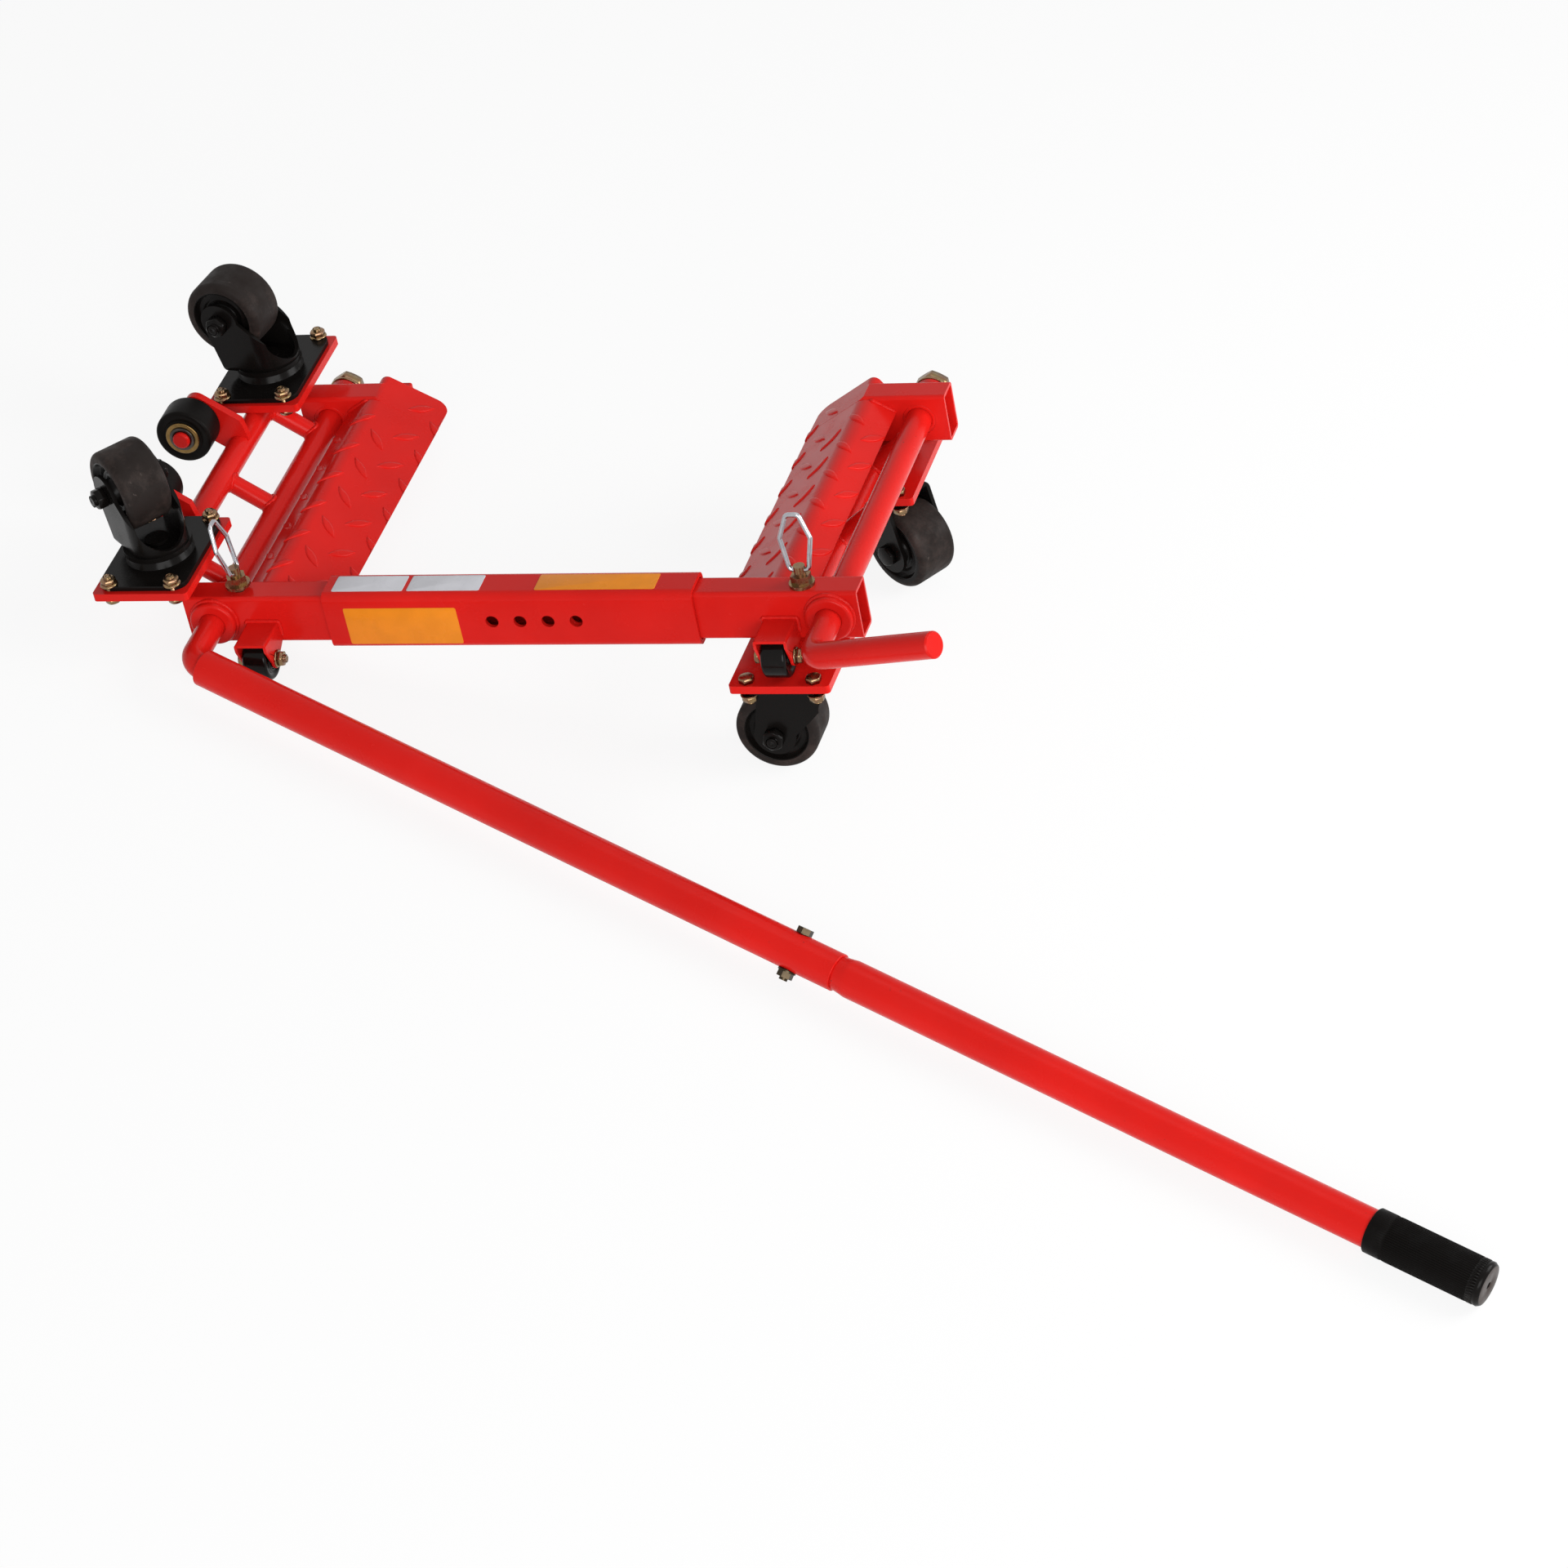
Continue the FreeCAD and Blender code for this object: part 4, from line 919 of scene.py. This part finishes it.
class DOLLY_OT_rollers(bpy.types.Operator):
    """Build the lifting rollers with their washers and clips, and the nuts on the crank bars"""
    bl_idname = "dolly.rollers"
    bl_label = "Lifting Rollers"

    # Heights run from the roller's outer face inward
    FACE = ((8.7, 0.0), (17.5, 0.0), (18.0, 0.6), (19.4, 0.6), (19.9, 0.0))
    WASHER = ((8.6, -2.5, 0), (15.8, -2.5, 0), (16.8, -2.3, 0), (17.0, -1.6, 0), (17.0, -0.6, 0),
              (8.6, -0.6, 0))
    CLIP = ((8.6, -3.9, 1), (11.9, -3.9, 1), (12.4, -3.5, 1), (12.4, -2.5, 1), (8.6, -2.5, 1))
    # Heights along the crank bar from the front of its half
    SHAFT_WASHER = ((10.1, 397.4, 2), (16.6, 397.4, 2), (17.0, 397.8, 2), (17.0, 399.9, 2),
                    (16.6, 400.4, 2), (10.1, 400.4, 2))
    NUT_WIDTH = 30
    NUT_ENDS = (400.4, 412.4)
    SHAFT_DIAMETER = 20
    SHAFT_END = 414.4
    SHAFT_PITCH = 2.0

    def roller_profile(self):
        rows = plain(*self.FACE)
        rows += arc(25.0, 3.0, 3.0, -90, 0, 6, 0)
        rows += [(28.0, 15.0, 0)]
        rows += arc(25.0, 27.0, 3.0, 0, 90, 6, 0)
        return rows + [(8.7, 30.0, 0)]

    def shaft_nut(self, mesh, shaft):
        lathe(mesh, shaft, self.SHAFT_WASHER, segments=48)
        hex_body(mesh, shaft, self.NUT_WIDTH, *self.NUT_ENDS, finish=2)
        threaded_tail(mesh, shaft, self.SHAFT_DIAMETER, self.NUT_ENDS[1], self.SHAFT_END, self.SHAFT_PITCH, 2)

    def execute(self, context):
        for side in SIDES:
            retainers = bmesh.new()
            for end in ENDS:
                name = side + "_" + end + "_roller"
                inward = 1 if end == "rear" else -1
                matrix = spin_frame(name + "_spin") @ Matrix.Diagonal((1, 1, inward, 1))
                wheel = bmesh.new()
                lathe(wheel, matrix, self.roller_profile(), segments=72)
                made = piece(name + "_tyre", wheel, ["roller"], name)
                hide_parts(name)
                lathe(retainers, matrix, self.WASHER, segments=64)
                lathe(retainers, matrix, self.CLIP, segments=48)
            self.shaft_nut(retainers, ladder_frame(side) @ Matrix.Rotation(-math.pi / 2, 4, "X"))
            finishes = ["brass", "steel", "zinc"]
            made = piece(side + "_washers_and_nuts", retainers, finishes, side + "_ladder")
            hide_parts(side + "_axle_retainers")
        return {"FINISHED"}


class DOLLY_OT_caster_bolts(bpy.types.Operator):
    """Build the plated bolts that hold the casters"""
    bl_idname = "dolly.caster_bolts"
    bl_label = "Caster Bolts"

    # Middles of the mount plates in the ladder's frame, and the bolts' reach from them
    MOUNTS = ((-48, 24.0), (-48, 348.0))
    REACH = (32, 55)
    WASHER = ((4.0, 63), (8.1, 63), (8.5, 63.4), (8.2, 64.5), (6.0, 65.4), (4.0, 65.4))
    SCREW_WIDTH = 13
    SCREW_DIAMETER = 8
    HEAD_ENDS = (44.5, 50.0)
    SHANK_ENDS = (50, 63)
    NUT_ENDS = (64.4, 70.0)
    SCREW_END = 72.5

    def screw(self, mesh, matrix):
        hex_body(mesh, matrix, self.SCREW_WIDTH, *self.HEAD_ENDS, (True, False))
        shank(mesh, matrix, self.SCREW_DIAMETER / 2, *self.SHANK_ENDS, segments=24)
        lathe(mesh, matrix, plain(*self.WASHER), segments=32)
        hex_body(mesh, matrix, self.SCREW_WIDTH, *self.NUT_ENDS)
        threaded_tail(mesh, matrix, self.SCREW_DIAMETER, self.NUT_ENDS[1], self.SCREW_END)

    def execute(self, context):
        reach_x, reach_y = self.REACH
        for side in SIDES:
            ladder = ladder_frame(side)
            screws = bmesh.new()
            for x, y in self.MOUNTS:
                for dx in (-reach_x, reach_x):
                    for dy in (-reach_y, reach_y):
                        self.screw(screws, ladder @ Matrix.Translation((x + dx, y + dy, 0)))
            made = piece(side + "_caster_screws", screws, ["zinc"], side + "_ladder")
            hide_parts(side + "_caster_bolts")
        return {"FINISHED"}


class DOLLY_OT_lock_pins(bpy.types.Operator):
    """Finish the lock pins and their wire bails"""
    bl_idname = "dolly.lock_pins"
    bl_label = "Lock Pins"

    PIN_ROUND = 0.4 * MM

    def execute(self, context):
        for side in SIDES:
            dress(side + "_lock_pin", "zinc", self.PIN_ROUND)
            dress(side + "_bail", "chrome", 0)
        return {"FINISHED"}


class DOLLY_OT_lever_fittings(bpy.types.Operator):
    """Build the lever's ribbed grip and finish its joint bolt"""
    bl_idname = "dolly.lever_fittings"
    bl_label = "Lever Grip and Bolt"

    # Depth and steps of a groove between ribs, and between the teeth at the grip's end
    GROOVES = {"rib": (0.85, 6), "tooth": (1.5, 8)}
    # Radius, height down the lever, surface and finish index of each ring
    GRIP_ROWS = (
        (17.55, 1252.0, None, 0), (19.6, 1252.0, None, 0), (20.3, 1252.8, None, 0),
        (20.4, 1268.0, None, 0), (20.0, 1269.5, "rib", 0), (20.3, 1271.0, "rib", 0),
        (20.4, 1273.0, "rib", 0), (20.4, 1348.5, "rib", 0), (20.0, 1349.5, None, 0),
        (20.4, 1350.3, "tooth", 2), (20.4, 1355.2, "tooth", 2), (19.6, 1356.0, None, 2),
        (20.2, 1357.0, None, 2), (20.3, 1359.2, None, 2), (18.6, 1361.7, None, 2),
        (17.6, 1362.0, None, 2), (3.6, 1362.0, None, 1), (3.2, 1361.6, None, 1),
        (3.2, 1354.0, None, 0), (0.05, 1354.0, None, 0))
    BOLT_ROUND = 0.4 * MM

    def groove(self, surface, step):
        """Depth of the grip's surface below its crests."""
        if surface is None:
            return 0.0
        depth, steps = self.GROOVES[surface]
        return depth * (0.5 - 0.5 * math.cos(2 * math.pi * step / steps)) ** 2

    def execute(self, context):
        matrix = lever_frame()
        segments = context.scene.dolly_detail.grip_ribs * self.GROOVES["rib"][1]
        grip = bmesh.new()
        rings = []
        for radius, height, surface, _ in self.GRIP_ROWS:
            ring = []
            for step, turn in enumerate(turns(segments)):
                reach = radius - self.groove(surface, step)
                ring.append(grip.verts.new(matrix @ polar(reach, turn, height)))
            rings.append(ring)
        skin(grip, rings, [row[3] for row in self.GRIP_ROWS[1:]])
        made = piece("ribbed_grip", grip, ["rubber", "grip_end", "hub"], "lever")
        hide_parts("lever_grip")
        dress("lever_joint_bolt", "dark_zinc", self.BOLT_ROUND)
        return {"FINISHED"}


class DOLLY_OT_decals(bpy.types.Operator):
    """Lay blank vinyl decals on the bar sleeve"""
    bl_idname = "dolly.decals"
    bl_label = "Blank Decals"

    CORNER = 2.0
    CORNER_STEPS = 6
    # Lift of the decal's foot, share of the thickness below its edge, and the edge's inset
    FOOT = 0.02
    EDGE_RISE = 0.7
    EDGE_INSET = 0.25
    # Start along the bar and length of each decal on the sleeve's top
    TOP = (("white_decals", "white_vinyl", ((-179.0, 71.0), (-104.0, 72.0))),
           ("amber_top_decal", "amber_vinyl", ((22.0, 117.0),)))
    TOP_EDGE = 2.5
    TOP_BREADTH = 25.0
    TOP_FACE = 30.0
    FRONT_CORNER = Vector((-168.0, -5.0, -24.0))
    FRONT_LENGTH = 112.0
    FRONT_BREADTH = 40.0

    def outline(self, length, breadth):
        """Rounded rectangle from the origin."""
        radius = self.CORNER
        middles = ((length - radius, radius, -90), (length - radius, breadth - radius, 0),
                   (radius, breadth - radius, 90), (radius, radius, 180))
        points = []
        for x, y, start in middles:
            for step in range(self.CORNER_STEPS + 1):
                turn = math.radians(start + 90 / self.CORNER_STEPS * step)
                points.append((x + radius * math.cos(turn), y + radius * math.sin(turn)))
        return points

    def patch(self, mesh, corner, along, across, up):
        """Thin sheet with rounded corners in the bar frame."""
        matrix = bar_frame()
        thickness = bpy.context.scene.dolly_detail.decal_thickness / MM
        length = along.length
        breadth = across.length
        u = along.normalized()
        v = across.normalized()
        outline = self.outline(length, breadth)
        layers = ((self.FOOT, 0.0), (thickness * self.EDGE_RISE, 0.0), (thickness, self.EDGE_INSET))
        rings = []
        for lift, inset in layers:
            ring = []
            for a, b in outline:
                a += (length / 2 - a) * inset / length * 2
                b += (breadth / 2 - b) * inset / breadth * 2
                ring.append(mesh.verts.new(matrix @ (corner + u * a + v * b + up * lift)))
            rings.append(ring)
        skin(mesh, rings)
        mesh.faces.new(rings[-1])
        mesh.faces.new(rings[0])

    def execute(self, context):
        x = Vector((1, 0, 0))
        y = Vector((0, 1, 0))
        z = Vector((0, 0, 1))
        for name, finish, places in self.TOP:
            mesh = bmesh.new()
            for start, length in places:
                corner = Vector((start, self.TOP_EDGE, self.TOP_FACE))
                self.patch(mesh, corner, x * length, y * self.TOP_BREADTH, z)
            piece(name, mesh, [finish], "sleeve")
        mesh = bmesh.new()
        self.patch(mesh, self.FRONT_CORNER, x * self.FRONT_LENGTH, z * self.FRONT_BREADTH, -y)
        piece("amber_front_decal", mesh, ["amber_vinyl"], "sleeve")
        return {"FINISHED"}


class DOLLY_OT_stage(bpy.types.Operator):
    """Set the floor, the soft lights and the camera"""
    bl_idname = "dolly.stage"
    bl_label = "Studio"

    FLOOR_SIZE = 40
    FLOOR_GLOW = 0.88
    ROOM_GLOW = 0.92
    # Place, target and size of each soft light
    KEY = ((1.25, -4.35, 2.15), (0, 0, 0.1), (4.0, 2.6))
    TOP = ((0.0, 0.6, 3.0), (-0.1, 0, 0.1), (2.4, 1.4))
    FILL = ((2.0, 0.6, 1.5), (0, 0, 0.1), (1.5, 1.5))
    # The camera in the bar frame
    CAMERA_PLACE = Vector((1726.9, -3785.05, 2615.6))
    CAMERA_RIGHT = Vector((0.95264, 0.24639, -0.17824))
    CAMERA_DOWN = Vector((0.00330, -0.59446, -0.80411))
    CAMERA_FORWARD = Vector((-0.30408, 0.76544, -0.56713))
    SENSOR_WIDTH = 36
    VIEW_DEPTH = 100

    def lamp(self, name, place, target, size, power):
        data = bpy.data.lights.new(name, "AREA")
        data.shape = "RECTANGLE"
        data.size, data.size_y = size
        data.energy = power
        made = bpy.data.objects.new(name, data)
        made.location = place
        made.rotation_euler = (Vector(target) - Vector(place)).to_track_quat("-Z", "Y").to_euler()
        bpy.context.scene.collection.objects.link(made)

    def seen_directly(self, nodes):
        """1 for camera, glossy and transmission rays, so the backdrop shows white in all of them."""
        path = nodes.new("ShaderNodeLightPath")
        total = path.outputs["Is Camera Ray"]
        for ray in ("Is Glossy Ray", "Is Transmission Ray"):
            larger = nodes.new("ShaderNodeMath")
            larger.operation = "MAXIMUM"
            nodes.id_data.links.new(total, larger.inputs[0])
            nodes.id_data.links.new(path.outputs[ray], larger.inputs[1])
            total = larger.outputs[0]
        return total

    def floor_material(self, grey):
        """Pale floor that mostly glows where it is seen and still takes a shadow."""
        material = bpy.data.materials.new("pale_floor")
        material.use_nodes = True
        tree = material.node_tree
        tree.nodes.clear()
        output = tree.nodes.new("ShaderNodeOutputMaterial")
        diffuse = tree.nodes.new("ShaderNodeBsdfDiffuse")
        diffuse.inputs["Color"].default_value = (grey, grey, grey, 1)
        glow = tree.nodes.new("ShaderNodeEmission")
        share = tree.nodes.new("ShaderNodeMath")
        share.operation = "MULTIPLY"
        share.inputs[1].default_value = self.FLOOR_GLOW
        tree.links.new(self.seen_directly(tree.nodes), share.inputs[0])
        mix = tree.nodes.new("ShaderNodeMixShader")
        tree.links.new(share.outputs[0], mix.inputs[0])
        tree.links.new(diffuse.outputs[0], mix.inputs[1])
        tree.links.new(glow.outputs[0], mix.inputs[2])
        tree.links.new(mix.outputs[0], output.inputs["Surface"])
        return material

    def room(self, ambient):
        """White room that gives the dolly only its ambient light."""
        world = bpy.data.worlds.new("studio_room")
        world.use_nodes = True
        tree = world.node_tree
        background = tree.nodes["Background"]
        background.inputs["Color"].default_value = (1, 1, 1, 1)
        strength = tree.nodes.new("ShaderNodeMapRange")
        strength.inputs["To Min"].default_value = ambient
        strength.inputs["To Max"].default_value = self.ROOM_GLOW
        tree.links.new(self.seen_directly(tree.nodes), strength.inputs["Value"])
        tree.links.new(strength.outputs["Result"], background.inputs["Strength"])
        return world

    def camera(self, lens):
        """Camera at the photograph's viewing angle."""
        data = bpy.data.cameras.new("photo_camera")
        data.lens = lens
        data.sensor_width = self.SENSOR_WIDTH
        data.clip_end = self.VIEW_DEPTH
        made = bpy.data.objects.new("photo_camera", data)
        aim = frame_matrix(self.CAMERA_PLACE, self.CAMERA_RIGHT, -self.CAMERA_DOWN, -self.CAMERA_FORWARD)
        bar = bar_frame()
        turn = (bar.to_3x3() @ aim.to_3x3()) * (1 / MM)
        place = Matrix.Translation(bar @ aim.translation)
        made.matrix_world = place @ turn.to_quaternion().to_matrix().to_4x4()
        return made

    def execute(self, context):
        scene = context.scene
        settings = scene.dolly_stage
        bpy.ops.mesh.primitive_plane_add(size=self.FLOOR_SIZE, location=(0, 0, 0))
        floor = context.object
        floor.name = "studio_floor"
        floor.data.materials.append(self.floor_material(settings.floor_grey))
        scene.world = self.room(settings.ambient)
        self.lamp("key_light", *self.KEY, settings.key_power)
        self.lamp("top_light", *self.TOP, settings.top_power)
        self.lamp("fill_light", *self.FILL, settings.fill_power)
        camera = self.camera(settings.camera_lens)
        scene.collection.objects.link(camera)
        scene.camera = camera
        scene.view_settings.view_transform = "Standard"
        return {"FINISHED"}


class DOLLY_PT_dresser(bpy.types.Panel):
    """Sidebar panel with the dolly's pieces"""
    bl_idname = "DOLLY_PT_dresser"
    bl_label = "Wheel Dolly"
    bl_space_type = "VIEW_3D"
    bl_region_type = "UI"
    bl_category = "Wheel Dolly"

    def draw(self, context):
        layout = self.layout
        for settings in (context.scene.dolly_finish, context.scene.dolly_detail, context.scene.dolly_stage):
            column = layout.column()
            for key in settings.__annotations__:
                column.prop(settings, key)
        for operator in OPERATORS:
            layout.operator(operator.bl_idname)


OPERATORS = (
    DOLLY_OT_enamel, DOLLY_OT_tread_plates, DOLLY_OT_welds, DOLLY_OT_casters, DOLLY_OT_small_wheels,
    DOLLY_OT_rollers, DOLLY_OT_caster_bolts, DOLLY_OT_lock_pins, DOLLY_OT_lever_fittings, DOLLY_OT_decals,
    DOLLY_OT_stage,
)
CLASSES = (DollyFinish, DollyDetail, DollyStage) + OPERATORS + (DOLLY_PT_dresser,)


def register():
    for entry in CLASSES:
        bpy.utils.register_class(entry)
    bpy.types.Scene.dolly_finish = PointerProperty(type=DollyFinish)
    bpy.types.Scene.dolly_detail = PointerProperty(type=DollyDetail)
    bpy.types.Scene.dolly_stage = PointerProperty(type=DollyStage)


def unregister():
    del bpy.types.Scene.dolly_stage
    del bpy.types.Scene.dolly_detail
    del bpy.types.Scene.dolly_finish
    for entry in reversed(CLASSES):
        bpy.utils.unregister_class(entry)


def main():
    register()
    bpy.ops.dolly.enamel()
    bpy.ops.dolly.tread_plates()
    bpy.ops.dolly.welds()
    bpy.ops.dolly.casters()
    bpy.ops.dolly.small_wheels()
    bpy.ops.dolly.rollers()
    bpy.ops.dolly.caster_bolts()
    bpy.ops.dolly.lock_pins()
    bpy.ops.dolly.lever_fittings()
    bpy.ops.dolly.decals()
    bpy.ops.dolly.stage()


if __name__ == "__main__":
    main()
